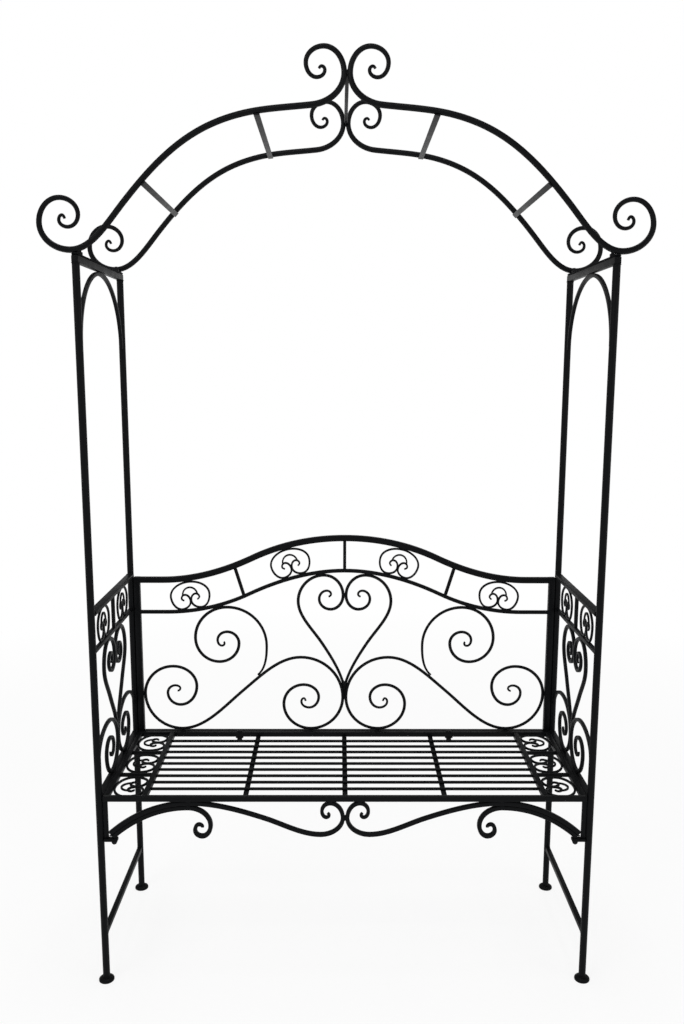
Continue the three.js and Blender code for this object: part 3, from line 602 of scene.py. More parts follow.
# %% Front post with its tab
APRON_DROP = 92
BRACKET_REACH = 30
BRACKET_WIDTH = 14
BRACKET_BOTTOM = SEAT_BOTTOM - APRON_DROP
BRACKET_TOP = BRACKET_BOTTOM + PLATE
TAB_TOP = BRACKET_BOTTOM - WELD_GAP
tab_start = POST_DIAMETER / 2 - TUBE_WALL
tab_end = HALF_SPACING - INNER_HALF + BRACKET_REACH
tab = stock((tab_end - tab_start, BRACKET_WIDTH, PLATE),
            (LEFT_SIDE + (tab_start + tab_end) / 2, -HALF_DEPTH, TAB_TOP - PLATE / 2), FLAT_CORNER)
hand_over_pair(join([post(-HALF_DEPTH), tab]), "front_post")

# %% [markdown]
# The rails of a side: the top rail lies on both posts and is capped at both ends, the arm rail
# is a flat rectangular tube, and the seat level rail and the stretcher run between the posts.

# %% Rails of a side
ARM_WIDTH = 18
ARM_THICKNESS = 10
STRETCHER = 12
STRETCHER_HEIGHT = 118
ARM_BOTTOM = ARM_TOP - ARM_THICKNESS
# each rail: its size and the height of its middle
side_rails = {
    "top_rail": ((TOP_RAIL, 2 * HALF_DEPTH + POST_DIAMETER, TOP_RAIL), SIDE_TOP - TOP_RAIL / 2),
    "arm_rail": ((ARM_WIDTH, 2 * SIDE_HALF, ARM_THICKNESS), ARM_TOP - ARM_THICKNESS / 2),
    "seat_level_rail": ((POST_DIAMETER, 2 * SIDE_HALF, SEAT_RAIL), SEAT_MIDDLE),
    "stretcher": ((STRETCHER, 2 * SIDE_HALF, STRETCHER), STRETCHER_HEIGHT),
}
for node, (size, height) in side_rails.items():
    hand_over_pair(stock(size, (LEFT_SIDE, 0, height)), node)

# %% [markdown]
# ## The small ornament
# The same little ornament fills the arm friezes, the back frieze and the seat ends: a rod that
# coils in at both ends, lies on two lobes, and rises to one arch, with a short inner arch
# between the coils. Half of it is drawn and mirrored. It is made at any height, because the
# friezes are not equally tall.

# %% Ornament
ORNAMENT_ROD = 5
ORNAMENT_WIDTH = 105
ORNAMENT_HEIGHT = 78
WELD_BITE = 0.4
horn_shares = [
    (0.33, 0.31, 150, 0.8), (0.27, 0.40, UP, 0.9), (0.36, 0.53, RIGHT), (0.49, 0.28, DOWN),
    (0.25, 0, LEFT), (0, 0.5, UP), (0.5, 1, RIGHT),
]
inner_arch_shares = [(0.31, 0.50, UP, 0.8), (0.5, 0.79, RIGHT, 0.9)]


def ornament(height=ORNAMENT_HEIGHT):
    """One ornament, flat in X and Y, standing on zero."""
    edge = ORNAMENT_ROD / 2
    opening = (edge - ORNAMENT_WIDTH / 2, ORNAMENT_WIDTH / 2 - edge, edge, height - edge)
    return join([bent_bar(both_halves(stops_in(opening, shares)), ORNAMENT_ROD, square=True)
                 for shares in (horn_shares, inner_arch_shares)])


print("stops in half an ornament:", len(horn_shares) + len(inner_arch_shares))

# %% [markdown]
# The arm frieze hangs its two ornaments between a thin rail and the arm, with a divider
# between them. It is drawn in the plane of the side: local X runs from the front post to the
# rear post, so the whole panel is turned a quarter turn and moved out to the side.

# %% Arm frieze
FRIEZE_BAR = 9
DIVIDER_BAR = 8
SIDE_FRIEZE_TOP = ARM_BOTTOM - WELD_GAP + WELD_BITE - ORNAMENT_HEIGHT


def to_the_side(piece):
    """Turns an upright drawing into the plane of the left side frame."""
    return freeze(piece, (LEFT_SIDE, 0, 0), (0, 0, 90))


divider_low = SIDE_FRIEZE_TOP - WELD_BITE
divider_high = ARM_BOTTOM - WELD_GAP
frieze_parts = [
    stock((2 * SIDE_HALF, FRIEZE_BAR, FRIEZE_BAR), (0, 0, SIDE_FRIEZE_TOP - FRIEZE_BAR / 2), BAR_CORNER),
    stock((DIVIDER_BAR, DIVIDER_BAR, divider_high - divider_low),
          (0, 0, (divider_low + divider_high) / 2), BAR_CORNER),
]
for end in (-1, 1):
    frieze_parts.append(freeze(upright(ornament()), (end * SIDE_HALF / 2, 0, divider_low)))
hand_over_pair(to_the_side(join(frieze_parts)), "arm_frieze")

# %% [markdown]
# Under the frieze sits the large scrollwork: a heart whose legs run down between two C-scrolls.
# Each C-scroll touches the post, the seat level rail and its twin, and the heart hangs its two
# lobes under the frieze. The shares below say where the bar runs level or plumb, measured in
# the opening that the rails leave.

# %% Side scrollwork
SCROLL_ROD = 8
half_rod = SCROLL_ROD / 2
side_opening = (half_rod - SIDE_HALF, WELD_BITE / 2 - half_rod, SEAT_TOP + WELD_GAP + half_rod,
                SIDE_FRIEZE_TOP - FRIEZE_BAR - WELD_GAP - half_rod)
side_heart_shares = [
    (0.83, 0.800, 45, 0.7), (0.86, 0.825, UP, 0.75), (0.785, 0.885, LEFT, 0.85),
    (0.675, 0.825, DOWN, 0.9), (0.83, 0.745, RIGHT), (1, 0.856, UP), (0.71, 1, LEFT),
    (0.433, 0.818, DOWN), (0.68, 0.570, 302), (1, 0.250, 280),
]
side_curl_shares = [
    (0, 0.23, UP), (0.5, 0.405, RIGHT), (1, 0.185, DOWN), (0.66, 0, LEFT), (0.38, 0.165, UP),
    (0.56, 0.268, RIGHT, 0.95), (0.77, 0.180, DOWN, 0.9), (0.66, 0.118, LEFT, 0.8),
    (0.59, 0.158, 70, 0.7),
]
side_heart = stops_in(side_opening, side_heart_shares)
side_curl = stops_in(side_opening, side_curl_shares)
heart_on_twin, heart_on_frieze = side_heart[5:7]
curl_on_post, _, curl_on_twin, curl_on_rail = side_curl[:4]
scroll_parts = []
for stops in (side_heart, side_curl):
    half = bent_bar(stops, SCROLL_ROD, square=True)
    scroll_parts += [half, twin(half, scale=MIRRORED)]
hand_over_pair(to_the_side(upright(join(scroll_parts))), "side_scrollwork")

# %% [markdown]
# At the top of each side a single rod makes a round head under the top rail, like a lancet
# window, and its ends run out on the posts.

# %% Lancet rod
LANCET_ROD = 8.5
LANCET_DROP = 160
LANCET_STEPS = 32
lancet_reach = SIDE_HALF - LANCET_ROD / 2
lancet_crown = POST_TOP - LANCET_ROD / 2
lancet_stops = [
    (-lancet_reach, lancet_crown - LANCET_DROP, UP, 1),
    (0, lancet_crown, RIGHT, 1),
    (lancet_reach, lancet_crown - LANCET_DROP, DOWN, 1),
]
lancet = bent_bar(lancet_stops, LANCET_ROD, square=True, steps=LANCET_STEPS)
hand_over_pair(to_the_side(upright(lancet)), "lancet_rod")

# %% [markdown]
# ## The back panel
# The back is its own welded panel that stands between the rear posts. Two square stiles hold a
# crown rail that rises in the middle in one long wave, and a thinner frieze rail follows it
# below. Both waves are level at their ends and in the middle, and steepest at one place on each
# side, so seven stops are enough. The two waves are not quite parallel: the frieze rail keeps
# its slope a little further out.

# %% Stiles and crown rail
STILE_DROP = 9
CROWN_SWEEP = 109.5
FRIEZE_DROP = 85
SLOPE_HEADING = 25.5
# shares of the half width where the wave leaves level and is steepest, and of the rise there
CROWN_WAVE_SHARES = (0.888, 0.449, 0.526)
FRIEZE_WAVE_SHARES = (0.868, 0.468, 0.435)
BACK_BOTTOM = SEAT_TOP - BACK_RAIL
BACK_END = ARM_TOP - STILE_DROP - BACK_RAIL / 2
BACK_HALF = INNER_HALF - BACK_RAIL - WELD_GAP
STILE_TOP = BACK_END + BACK_RAIL / 2


def wave_stops(end_height, wave_shares):
    """A rail that is level at both ends and rises over a slope to its crest in the middle."""
    level, slope_across, slope_up = wave_shares
    return both_halves([
        (-BACK_HALF, end_height, RIGHT, 1),
        (-BACK_HALF * level, end_height, RIGHT, 1),
        (-BACK_HALF * slope_across, end_height + CROWN_SWEEP * slope_up, SLOPE_HEADING, 1),
        (0, end_height + CROWN_SWEEP, RIGHT, 1),
    ])


crown_stops = wave_stops(BACK_END, CROWN_WAVE_SHARES)
frieze_stops = wave_stops(BACK_END - FRIEZE_DROP, FRIEZE_WAVE_SHARES)
stile = stock((BACK_RAIL, BACK_RAIL, STILE_TOP - BACK_BOTTOM),
              (BACK_RAIL / 2 - INNER_HALF, HALF_DEPTH, (STILE_TOP + BACK_BOTTOM) / 2), open_way=(0, 0, -1))
hand_over_pair(stile, "back_stile")
hand_over(upright(bent_bar(crown_stops, BACK_RAIL, square=True), HALF_DEPTH), "back_crown_rail")

# %% [markdown]
# The bottom rail is hidden behind the seat's rear rail. Two tabs reach forward from under it
# and take the bolts that hold the seat to the back.

# %% Bottom rail with its tabs
SEAT_REAR = HALF_DEPTH - (BACK_RAIL + SEAT_RAIL) / 2 - WELD_GAP
SEAT_BOLT_SHARE = 0.508
SEAT_BOLT_ACROSS = INNER_HALF * SEAT_BOLT_SHARE
SEAT_TAB_WIDTH = 20
SEAT_TAB_TOP = SEAT_BOTTOM - WELD_GAP
tab_rear = HALF_DEPTH + TUBE_WALL / 2 - BACK_RAIL / 2
tab_front = SEAT_REAR - SEAT_RAIL / 2
bottom_parts = [stock((2 * BACK_HALF, BACK_RAIL, BACK_RAIL), (0, HALF_DEPTH, SEAT_TOP - BACK_RAIL / 2))]
for side in (-1, 1):
    bottom_parts.append(stock(
        (SEAT_TAB_WIDTH, tab_rear - tab_front, PLATE),
        (side * SEAT_BOLT_ACROSS, (tab_rear + tab_front) / 2, SEAT_TAB_TOP - PLATE / 2), FLAT_CORNER))
hand_over(join(bottom_parts), "back_bottom_rail")

# %% [markdown]
# The frieze carries four ornaments that stand square to the slope, and three dividers. To
# place them, the height and slope of both rails are needed anywhere along them. Blender can
# list points along a Bezier curve, and the place is read between the two nearest of them.

# %% Height and slope along a rail
LINE_STEPS = 60


def centre_line(stops):
    """Points in mm along the centre of a bent bar."""
    points = []
    for here, there in zip(stops, stops[1:]):
        leaving, arriving = bend_handles(here, there)
        points += interpolate_bezier(Vector((*here[:2], 0)), leaving, arriving,
                                     Vector((*there[:2], 0)), LINE_STEPS)
    return points


def rail_at(line, across):
    """Height and slope, in degrees, of a centre line at a place across the back."""
    here, there = next((here, there) for here, there in zip(line, line[1:])
                       if here.x <= across < there.x)
    share = (across - here.x) / (there.x - here.x)
    slope = math.degrees(math.atan2(there.y - here.y, there.x - here.x))
    return here.y + share * (there.y - here.y), slope


crown_line = centre_line(crown_stops)
frieze_line = centre_line(frieze_stops)
print("frieze height and slope halfway out:", [round(v, 1) for v in rail_at(frieze_line, BACK_HALF / 2)])

# %% [markdown]
# An ornament stands square to the frieze rail, and the crown rail above it has a slope of its
# own, so the room between them is found by walking out from the one until the other is near.

# %% Frieze with ornaments and dividers
ORNAMENT_SINK = 1.2
ORNAMENT_SHARES = (0.246, 0.747)
DIVIDER_FOOT_SHARE = 0.492
DIVIDER_HEAD_SHARE = 0.534
WALK_ROUNDS = 8


def room_above(across):
    """Clear distance from the centre of the frieze rail to the crown rail, square to the slope."""
    height, slope = rail_at(frieze_line, across)
    out = Vector((-math.sin(math.radians(slope)), math.cos(math.radians(slope))))
    reach = FRIEZE_DROP
    for _ in range(WALK_ROUNDS):
        crown_height, crown_slope = rail_at(crown_line, across + out.x * reach)
        above = (crown_height - height - out.y * reach) * math.cos(math.radians(crown_slope))
        reach += above - BACK_RAIL / 2 - WELD_GAP
    return reach


def slanted_divider(foot_across, head_across):
    """A square bar from inside the frieze rail to just under the crown rail."""
    foot_height, _ = rail_at(frieze_line, foot_across)
    head_height, slope = rail_at(crown_line, head_across)
    head_height -= BACK_RAIL / 2 / math.cos(math.radians(slope)) + WELD_GAP
    lean = math.degrees(math.atan2(head_across - foot_across, head_height - foot_height))
    length = math.hypot(head_across - foot_across, head_height - foot_height)
    bar = stock((DIVIDER_BAR, DIVIDER_BAR, length), (0, 0, length / 2), BAR_CORNER)
    return freeze(bar, (foot_across, 0, foot_height), (0, lean, 0))


frieze = [upright(bent_bar(frieze_stops, FRIEZE_BAR, square=True)), slanted_divider(0, 0)]
ornament_foot = FRIEZE_BAR / 2 - ORNAMENT_SINK
for side in (-1, 1):
    frieze.append(slanted_divider(side * BACK_HALF * DIVIDER_FOOT_SHARE,
                                  side * BACK_HALF * DIVIDER_HEAD_SHARE))
    for share in ORNAMENT_SHARES:
        across = side * share * BACK_HALF
        height, slope = rail_at(frieze_line, across)
        motif = freeze(ornament(room_above(across) - ornament_foot), (0, ornament_foot, 0))
        frieze.append(freeze(upright(freeze(motif, turn=(0, 0, slope))), (across, 0, height)))
hand_over(freeze(join(frieze), (0, HALF_DEPTH, 0)), "back_frieze")
print("room over the inner and outer ornament:",
      [round(room_above(share * BACK_HALF) - ornament_foot, 1) for share in ORNAMENT_SHARES])

# %% [markdown]
# ## The scrolls of the back
# Two long S-scrolls lie on the bottom rail and lean on each other in the middle. Each has a
# full coil at both ends, a high arch over the inner one and a slant down to the outer one. The
# tips are drawn out to two thirds of the bar, so the coils look light.

# %% Long S-scrolls
back_opening = (WELD_GAP + half_rod - BACK_HALF, -WELD_GAP / 2 - half_rod,
                SEAT_TOP + WELD_GAP + half_rod,
                BACK_END + CROWN_SWEEP - FRIEZE_DROP - (FRIEZE_BAR + SCROLL_ROD) / 2 - WELD_GAP)
back_scroll_shares = [
    (0.812, 0.182, 110, 0.65), (0.803, 0.199, LEFT, 0.7), (0.790, 0.177, DOWN, 0.75),
    (0.829, 0.138, RIGHT, 0.85), (0.878, 0.208, UP, 0.95), (0.802, 0.288, LEFT),
    (0.701, 0.162, DOWN), (0.837, 0, RIGHT), (1, 0.206, UP), (0.788, 0.467, LEFT),
    (0.499, 0.254, 221), (0.184, 0, LEFT), (0, 0.230, UP), (0.144, 0.408, RIGHT),
    (0.261, 0.281, DOWN), (0.177, 0.157, LEFT), (0.1136, 0.235, UP, 0.9),
    (0.153, 0.283, RIGHT, 0.8), (0.177, 0.264, DOWN, 0.7), (0.163, 0.248, LEFT, 0.65),
]
scroll_stops = stops_in(back_opening, back_scroll_shares)
# the stops at which the bar touches the bottom rail twice, its twin and the stile
SCROLL_ON_RAIL = (7, 11)
SCROLL_ON_TWIN = 8
SCROLL_ON_STILE = 12
hand_over_pair(upright(bent_bar(scroll_stops, SCROLL_ROD), HALF_DEPTH), "back_scroll")

# %% [markdown]
# From the slant of each S-scroll an upper curl rises to the frieze. Its thin tail lies along
# the slant for a finger's width, where it is welded, and its crown touches the frieze rail.

# %% Upper curls
# where the tail starts on the slant: across, up, heading and thickness share
CURL_TAIL = (-226.3, 604.5, 40, 0.65)
CURL_LIFT = -3.2
curl_shares = [
    (0.617, 0.692, UP, 0.85), (0.421, 1, LEFT), (0.260, 0.753, DOWN), (0.379, 0.560, RIGHT),
    (0.478, 0.710, UP), (0.419, 0.802, LEFT, 0.95), (0.371, 0.735, DOWN, 0.85),
    (0.392, 0.690, RIGHT, 0.75), (0.405, 0.707, UP, 0.7), (0.402, 0.722, 130, 0.65),
]
# the crown's number among the stops, where the tail is number 0
CURL_CROWN = 2
crown_share = curl_shares[CURL_CROWN - 1][0]
curl_crown = back_opening[0] + crown_share * (back_opening[1] - back_opening[0])
curl_top = rail_at(frieze_line, curl_crown)[0] - (FRIEZE_BAR + SCROLL_ROD) / 2 - WELD_GAP
curl_opening = (*back_opening[:2], back_opening[2] + CURL_LIFT, curl_top + CURL_LIFT)
curl_stops = [CURL_TAIL] + stops_in(curl_opening, curl_shares)
hand_over_pair(upright(bent_bar(curl_stops, SCROLL_ROD), HALF_DEPTH), "back_curl")

# %% [markdown]
# The heart in the middle hangs from the frieze and its point drops between the shoulders of the
# two S-scrolls. Half is drawn from the inner coil over the crown to the point, then mirrored.

# %% Heart
# how far the lobe and the point are raised, which is downwards for both
LOBE_LIFT = -3.3
POINT_LIFT = -9.1
heart_opening = (back_opening[0], WELD_BITE / 2 - half_rod, *back_opening[2:])
heart_shares = [
    (0.9275, 0.856, 20, 0.65), (0.940, 0.872, UP, 0.7), (0.919, 0.894, LEFT, 0.8),
    (0.881, 0.841, DOWN, 0.9), (0.938, 0.776, RIGHT), (1, 0.865, UP), (0.905, 1, LEFT),
    (0.776, 0.827, DOWN), (0.895, 0.558, 303), (1, 0.327, 287, 0.9),
]
heart_stops = stops_in(heart_opening, heart_shares)
# the stops at which the lobe touches its twin and the frieze
HEART_ON_TWIN = 5
HEART_CROWN = 6
heart_stops[HEART_CROWN] = raised(heart_stops[HEART_CROWN], LOBE_LIFT)
heart_stops[-1] = raised(heart_stops[-1], POINT_LIFT)
heart_half = bent_bar(heart_stops, SCROLL_ROD)
heart = join([heart_half, twin(heart_half, scale=MIRRORED)])
hand_over(upright(heart, HALF_DEPTH), "back_heart")

# %% [markdown]
# ## The seat
# The seat is a frame of square tube with a panel of ornaments at each end and a grid of round
# slats between them. Round slats shed rain and are kind to sit on. They are welded between two
# end bars and tied from below by three flat strips, so they cannot spread.

# %% Seat rails
for node, along in (("seat_front_rail", -HALF_DEPTH), ("seat_rear_rail", SEAT_REAR)):
    hand_over(stock((2 * INNER_HALF, SEAT_RAIL, SEAT_RAIL), (0, along, SEAT_MIDDLE)), node)

# %% [markdown]
# One slat is made and copied at an even pitch. The end bars are square, and the strips lie flat
# against the slats from below.

# %% Slat grid
SLAT_COUNT = 9
SLAT_DIAMETER = 7
SLAT_MARGIN = 42
SLAT_EASE = 0.4
GRID_CORNER = 1
END_PANEL = 73.5
STRIP_WIDTH = 12
seat_front_edge = SEAT_RAIL / 2 - HALF_DEPTH + WELD_GAP
seat_rear_edge = SEAT_REAR - SEAT_RAIL / 2 - WELD_GAP
SEAT_CENTRE = (seat_front_edge + seat_rear_edge) / 2
SEAT_CLEAR = seat_rear_edge - seat_front_edge
seat_side = INNER_HALF - SEAT_RAIL / 2
END_BAR = seat_side - SEAT_RAIL - END_PANEL
slat_pitch = (SEAT_CLEAR - 2 * SLAT_MARGIN) / (SLAT_COUNT - 1)
first_slat = SEAT_CENTRE - slat_pitch * (SLAT_COUNT - 1) / 2
grid = [rod(SLAT_DIAMETER, 2 * END_BAR, (0, first_slat, SEAT_MIDDLE), (0, 90, 0), SLAT_EASE)]
for number in range(1, SLAT_COUNT):
    grid.append(twin(grid[0], (0, number * slat_pitch, 0)))
for side in (-1, 1):
    grid.append(stock((SEAT_RAIL, SEAT_CLEAR, SEAT_RAIL), (side * END_BAR, SEAT_CENTRE, SEAT_MIDDLE),
                      GRID_CORNER))
strip_top = SEAT_MIDDLE - SLAT_DIAMETER / 2 + WELD_BITE
for step in (-1, 0, 1):
    grid.append(stock((STRIP_WIDTH, SEAT_CLEAR, PLATE),
                      (step * END_BAR / 2, SEAT_CENTRE, strip_top - PLATE / 2), FLAT_CORNER))
hand_over(join(grid), "slat_grid")
print("slat pitch:", round(slat_pitch, 1), "mm")

# %% [markdown]
# Each end panel has three ornaments lying flat, their arches towards the side rail, and two
# short dividers between them.

# %% Seat ends
panel_near = END_BAR + SEAT_RAIL / 2 + WELD_GAP
panel_far = seat_side - SEAT_RAIL / 2 + WELD_BITE
ornament_spacing = (SEAT_CLEAR - ORNAMENT_WIDTH) / 2
end_parts = [stock((SEAT_RAIL, SEAT_CLEAR, SEAT_RAIL), (-seat_side, SEAT_CENTRE, SEAT_MIDDLE))]
for step in (-1, 0, 1):
    flat = freeze(ornament(panel_far - panel_near), turn=(0, 0, 90))
    end_parts.append(freeze(flat, (-panel_near, SEAT_CENTRE + step * ornament_spacing, SEAT_MIDDLE)))
for step in (-1, 1):
    end_parts.append(stock(
        (panel_far - panel_near, DIVIDER_BAR, DIVIDER_BAR),
        (-(panel_near + panel_far) / 2, SEAT_CENTRE + step * ornament_spacing / 2, SEAT_MIDDLE), BAR_CORNER))
hand_over_pair(join(end_parts), "seat_end")

# %% [markdown]
# ## The apron
# Under the front rail two pairs of square bars leave a bracket on the front post. The long bar
# bows up to touch the rail, dips, and coils back against its twin in the middle. The short bar
# follows close below it and curls under.

# %% Apron bars
APRON_BAR = 10
STRIP_FACE = 10
STRIP_THICKNESS = 5
BAR_PAIR_GAP = 0.6
START_HEADING = 42
SHORT_BAR_LIFT = 2.7
apron_opening = (STRIP_FACE - INNER_HALF, -(WELD_GAP + APRON_BAR) / 2, BRACKET_TOP,
                 SEAT_BOTTOM - WELD_GAP - APRON_BAR / 2)
long_shares = [
    (0.345, 1, RIGHT), (0.668, 0.5675, 341, 0.95), (0.905, 0.102, RIGHT, 0.95), (1, 0.579, UP, 0.92),
    (0.947, 1, LEFT, 0.88), (0.911, 0.770, DOWN, 0.8), (0.930, 0.597, RIGHT, 0.72),
    (0.942, 0.663, UP, 0.65), (0.936, 0.717, 130, 0.58),
]
short_shares = [
    (0.341, 0.84, RIGHT), (0.436, 0.376, DOWN), (0.400, 0.060, LEFT), (0.3695, 0.233, UP, 0.9),
    (0.3866, 0.394, RIGHT, 0.8), (0.4018, 0.317, DOWN, 0.65),
]
start_way = way_of(START_HEADING)
bar_spacing = APRON_BAR + BAR_PAIR_GAP
long_start = (apron_opening[0] + WELD_GAP + start_way.y * APRON_BAR / 2,
              BRACKET_TOP + WELD_GAP + start_way.x * (APRON_BAR / 2 + bar_spacing), START_HEADING, 1)
short_start = (long_start[0] + start_way.y * bar_spacing, long_start[1] - start_way.x * bar_spacing,
               START_HEADING, 1)
long_stops = [long_start] + stops_in(apron_opening, long_shares)
short_stops = [short_start] + stops_in(apron_opening, short_shares)
# the stops at which a bar touches what is above it, and the long bar its twin
APRON_CROWN = 1
LONG_COIL_TOP = 5
LONG_ON_TWIN = 4
short_stops[APRON_CROWN] = raised(short_stops[APRON_CROWN], SHORT_BAR_LIFT)
for node, stops in (("apron_long_bar", long_stops), ("apron_short_bar", short_stops)):
    hand_over_pair(upright(bent_bar(stops, APRON_BAR, square=True), -HALF_DEPTH), node)

# %% [markdown]
# The bracket starts as flat bar of two widths: the upright strip lies on the post and takes the
# ends of both bars, and its foot reaches inwards over the tab of the post.

# %% Bracket
bracket_high = SEAT_BOTTOM - WELD_GAP
bracket_strip = stock((STRIP_FACE, STRIP_THICKNESS, bracket_high - BRACKET_BOTTOM),
                      (STRIP_FACE / 2 - INNER_HALF, -HALF_DEPTH, (bracket_high + BRACKET_BOTTOM) / 2),
                      FLAT_CORNER)
bracket_foot = stock((BRACKET_REACH, BRACKET_WIDTH, PLATE),
                     (BRACKET_REACH / 2 - INNER_HALF, -HALF_DEPTH, (BRACKET_TOP + BRACKET_BOTTOM) / 2),
                     FLAT_CORNER)
hand_over_pair(join([bracket_strip, bracket_foot]), "apron_bracket")

# %% [markdown]
# ## The arch
# The arch is four half bars, two in front and two behind. Each stands on a coil over the top
# rail, climbs in one sweep, turns up at the middle where it meets its twin, and ends in a
# second coil. Both coils are drawn out to less than half of the bar at the tip.

# %% Arch bars
ARCH_BAR = 13
ARCH_HEIGHT = 338
ARCH_STEPS = 14
ARCH_JOINT_SHARE = 0.88
BASE_THICKNESS = 4
ARCH_FOOT = SIDE_TOP + 2 * WELD_GAP + BASE_THICKNESS + ARCH_BAR / 2
arch_opening = (0, HALF_SPACING, ARCH_FOOT, ARCH_FOOT + ARCH_HEIGHT)
foot_coil_shares = [
    (-1.033, 0.180, 110, 0.45), (-1.043, 0.200, LEFT, 0.5), (-1.055, 0.172, DOWN, 0.55),
    (-1.024, 0.132, RIGHT, 0.6), (-0.984, 0.204, UP, 0.72), (-1.051, 0.300, LEFT, 0.8),
    (-1.128, 0.154, DOWN, 0.92), (-1.018, 0, RIGHT),
]
climb_shares = [(-0.818, 0.272, 50), (-0.545, 0.672, 29), (-0.327, 0.791, 9), (-0.127, 0.825, 6)]
crown_coil_shares = [
    (-0.0836, 1.146, LEFT, 0.8), (-0.148, 1.056, DOWN, 0.7), (-0.109, 0.976, RIGHT, 0.62),
    (-0.080, 1.015, UP, 0.55), (-0.092, 1.037, LEFT, 0.5), (-0.101, 1.024, 240, 0.42),
]
joint = (-(ARCH_BAR * ARCH_JOINT_SHARE + WELD_GAP) / 2, ARCH_FOOT + ARCH_HEIGHT, UP, ARCH_JOINT_SHARE)
arch_stops = stops_in(arch_opening, foot_coil_shares + climb_shares) + [joint]
arch_stops += stops_in(arch_opening, crown_coil_shares)
front_left = upright(bent_bar(arch_stops, ARCH_BAR, steps=ARCH_STEPS), -HALF_DEPTH)
rear_left = twin(front_left, (0, 2 * HALF_DEPTH, 0))
for end, bar in (("front", front_left), ("rear", rear_left)):
    hand_over(twin(bar, scale=MIRRORED), end + "_right_arch_bar")
    hand_over(bar, end + "_left_arch_bar")

# %% [markdown]
# Flat strips tie the front and rear bars together from below. They are turned to the slope of
# the arch, so that their wide face lies against both bars. Seen from the front, a strip's rear
# end hardly shows past its bar, so it stops under the middle of the bar there. Two more strips
# lie on the top rails as feet for the coils, and a round tie joins the two joints at the top.

# %% Strips, base strips and tie
# each strip: its place across and up, and its slope in degrees
STRIP_PLACES = {
    "lower_arch_strip": (-407.3, 1759.6, 46.9),
    "upper_arch_strip": (-179.1, 1890.7, 6.0),
}
STRIP_SHORTFALL = 9
BASE_EDGE = 1.9
TIE_DIAMETER = 8
TIE_SHORTFALL = 5.1
strip_length = 2 * HALF_DEPTH + ARCH_BAR
for node, (across, height, slope) in STRIP_PLACES.items():
    flat = stock((STRIP_WIDTH, strip_length - STRIP_SHORTFALL, PLATE),
                 (0, -STRIP_SHORTFALL / 2, 0), FLAT_CORNER)
    hand_over_pair(freeze(flat, (across, 0, height), (0, -slope, 0)), node, strip_coat)
base = stock((TOP_RAIL, strip_length, BASE_THICKNESS),
             (LEFT_SIDE, 0, SIDE_TOP + WELD_GAP + BASE_THICKNESS / 2), BASE_EDGE)
hand_over_pair(base, "arch_base", edge_coat)
tie_length = 2 * (HALF_DEPTH - TIE_SHORTFALL)
hand_over(rod(TIE_DIAMETER, tie_length, (0, 0, joint[1]), (90, 0, 0)), "arch_tie")

# %% [markdown]
# ## Bolts
# Two bolts hold the seat to the back, two hold the apron brackets, and two small ones sit in
# each base strip of the arch. A dome head is a cylinder with a deep rounded rim. A nut is a
# six-sided cylinder whose corners are eased.

# %% Heads, nuts and shanks
BOLT = 8
HEAD_DIAMETER = 14
HEAD_HEIGHT = 4
DOME_SHARE = 0.8
DOME_SEGMENTS = 5
ROUND_PROFILE = 0.5
NUT_SIDES = 6
NUT_ACROSS = 13
NUT_HEIGHT = 6.5
NUT_EASE = 0.7
BOLT_TAIL = 5
BOLT_EASE = 0.8


def dome(diameter, height, place, upside_down=False):
    """A rounded head that stands on its place, or hangs from it."""
    head = freeze(cylinder(diameter, height, SLIM_SIDES), (0, 0, height / 2))
    edit_faces(head, lambda face: face.normal.z > SAME_WAY)
    bpy.ops.mesh.bevel(offset=height * DOME_SHARE * MM, segments=DOME_SEGMENTS,
                       profile=ROUND_PROFILE, affect="EDGES")
    leave_edit()
    return freeze(head, place, (180 if upside_down else 0, 0, 0))


def nut(place):
    """A hexagon nut that hangs from its place."""
    body = cylinder(NUT_ACROSS / math.cos(math.pi / NUT_SIDES), NUT_HEIGHT, NUT_SIDES)
    bevel_edges(body, NUT_EASE, EASE_SEGMENTS)
    return freeze(body, (place[0], place[1], place[2] - NUT_HEIGHT / 2))


def shank(place, low, high):
    return rod(BOLT, high - low, (*place, (low + high) / 2), ease=BOLT_EASE)


print("bolt, head and nut:", BOLT, HEAD_DIAMETER, NUT_ACROSS, "mm")

# %% [markdown]
# A seat bolt goes down through the seat's rear rail and the tab below, with its nut underneath.
# An apron bolt comes down through the bracket and the tab of the post, into a cap nut.

# %% Seat and apron bolts
CAP_HEIGHT = 9
BRACKET_BOLT_SET_IN = 8
seat_bolt_place = (-SEAT_BOLT_ACROSS, SEAT_REAR)
nut_top = SEAT_TAB_TOP - PLATE - WELD_GAP
head_foot = SEAT_TOP + WELD_GAP
seat_bolt = join([
    dome(HEAD_DIAMETER, HEAD_HEIGHT, (*seat_bolt_place, head_foot)),
    shank(seat_bolt_place, nut_top - NUT_HEIGHT - BOLT_TAIL, head_foot + HEAD_HEIGHT / 2),
    nut((*seat_bolt_place, nut_top)),
])
apron_bolt_place = (BRACKET_REACH - BRACKET_BOLT_SET_IN - INNER_HALF, -HALF_DEPTH)
cap_top = TAB_TOP - PLATE - WELD_GAP
apron_bolt = join([
    shank(apron_bolt_place, cap_top - CAP_HEIGHT / 2, BRACKET_TOP),
    dome(NUT_ACROSS, CAP_HEIGHT, (*apron_bolt_place, cap_top), upside_down=True),
])
hand_over_pair(seat_bolt, "seat_bolt", bolt_finish)
hand_over_pair(apron_bolt, "apron_bolt", bolt_finish)

# %% [markdown]
# The base strip of the arch is held down on the top rail by small bolts that come up through
# it. From the front only the rear ones show, as a dark stub with its nut beside the coil. A nut
# and a stub of thread are made once for the strip, and copied to its other end and side.

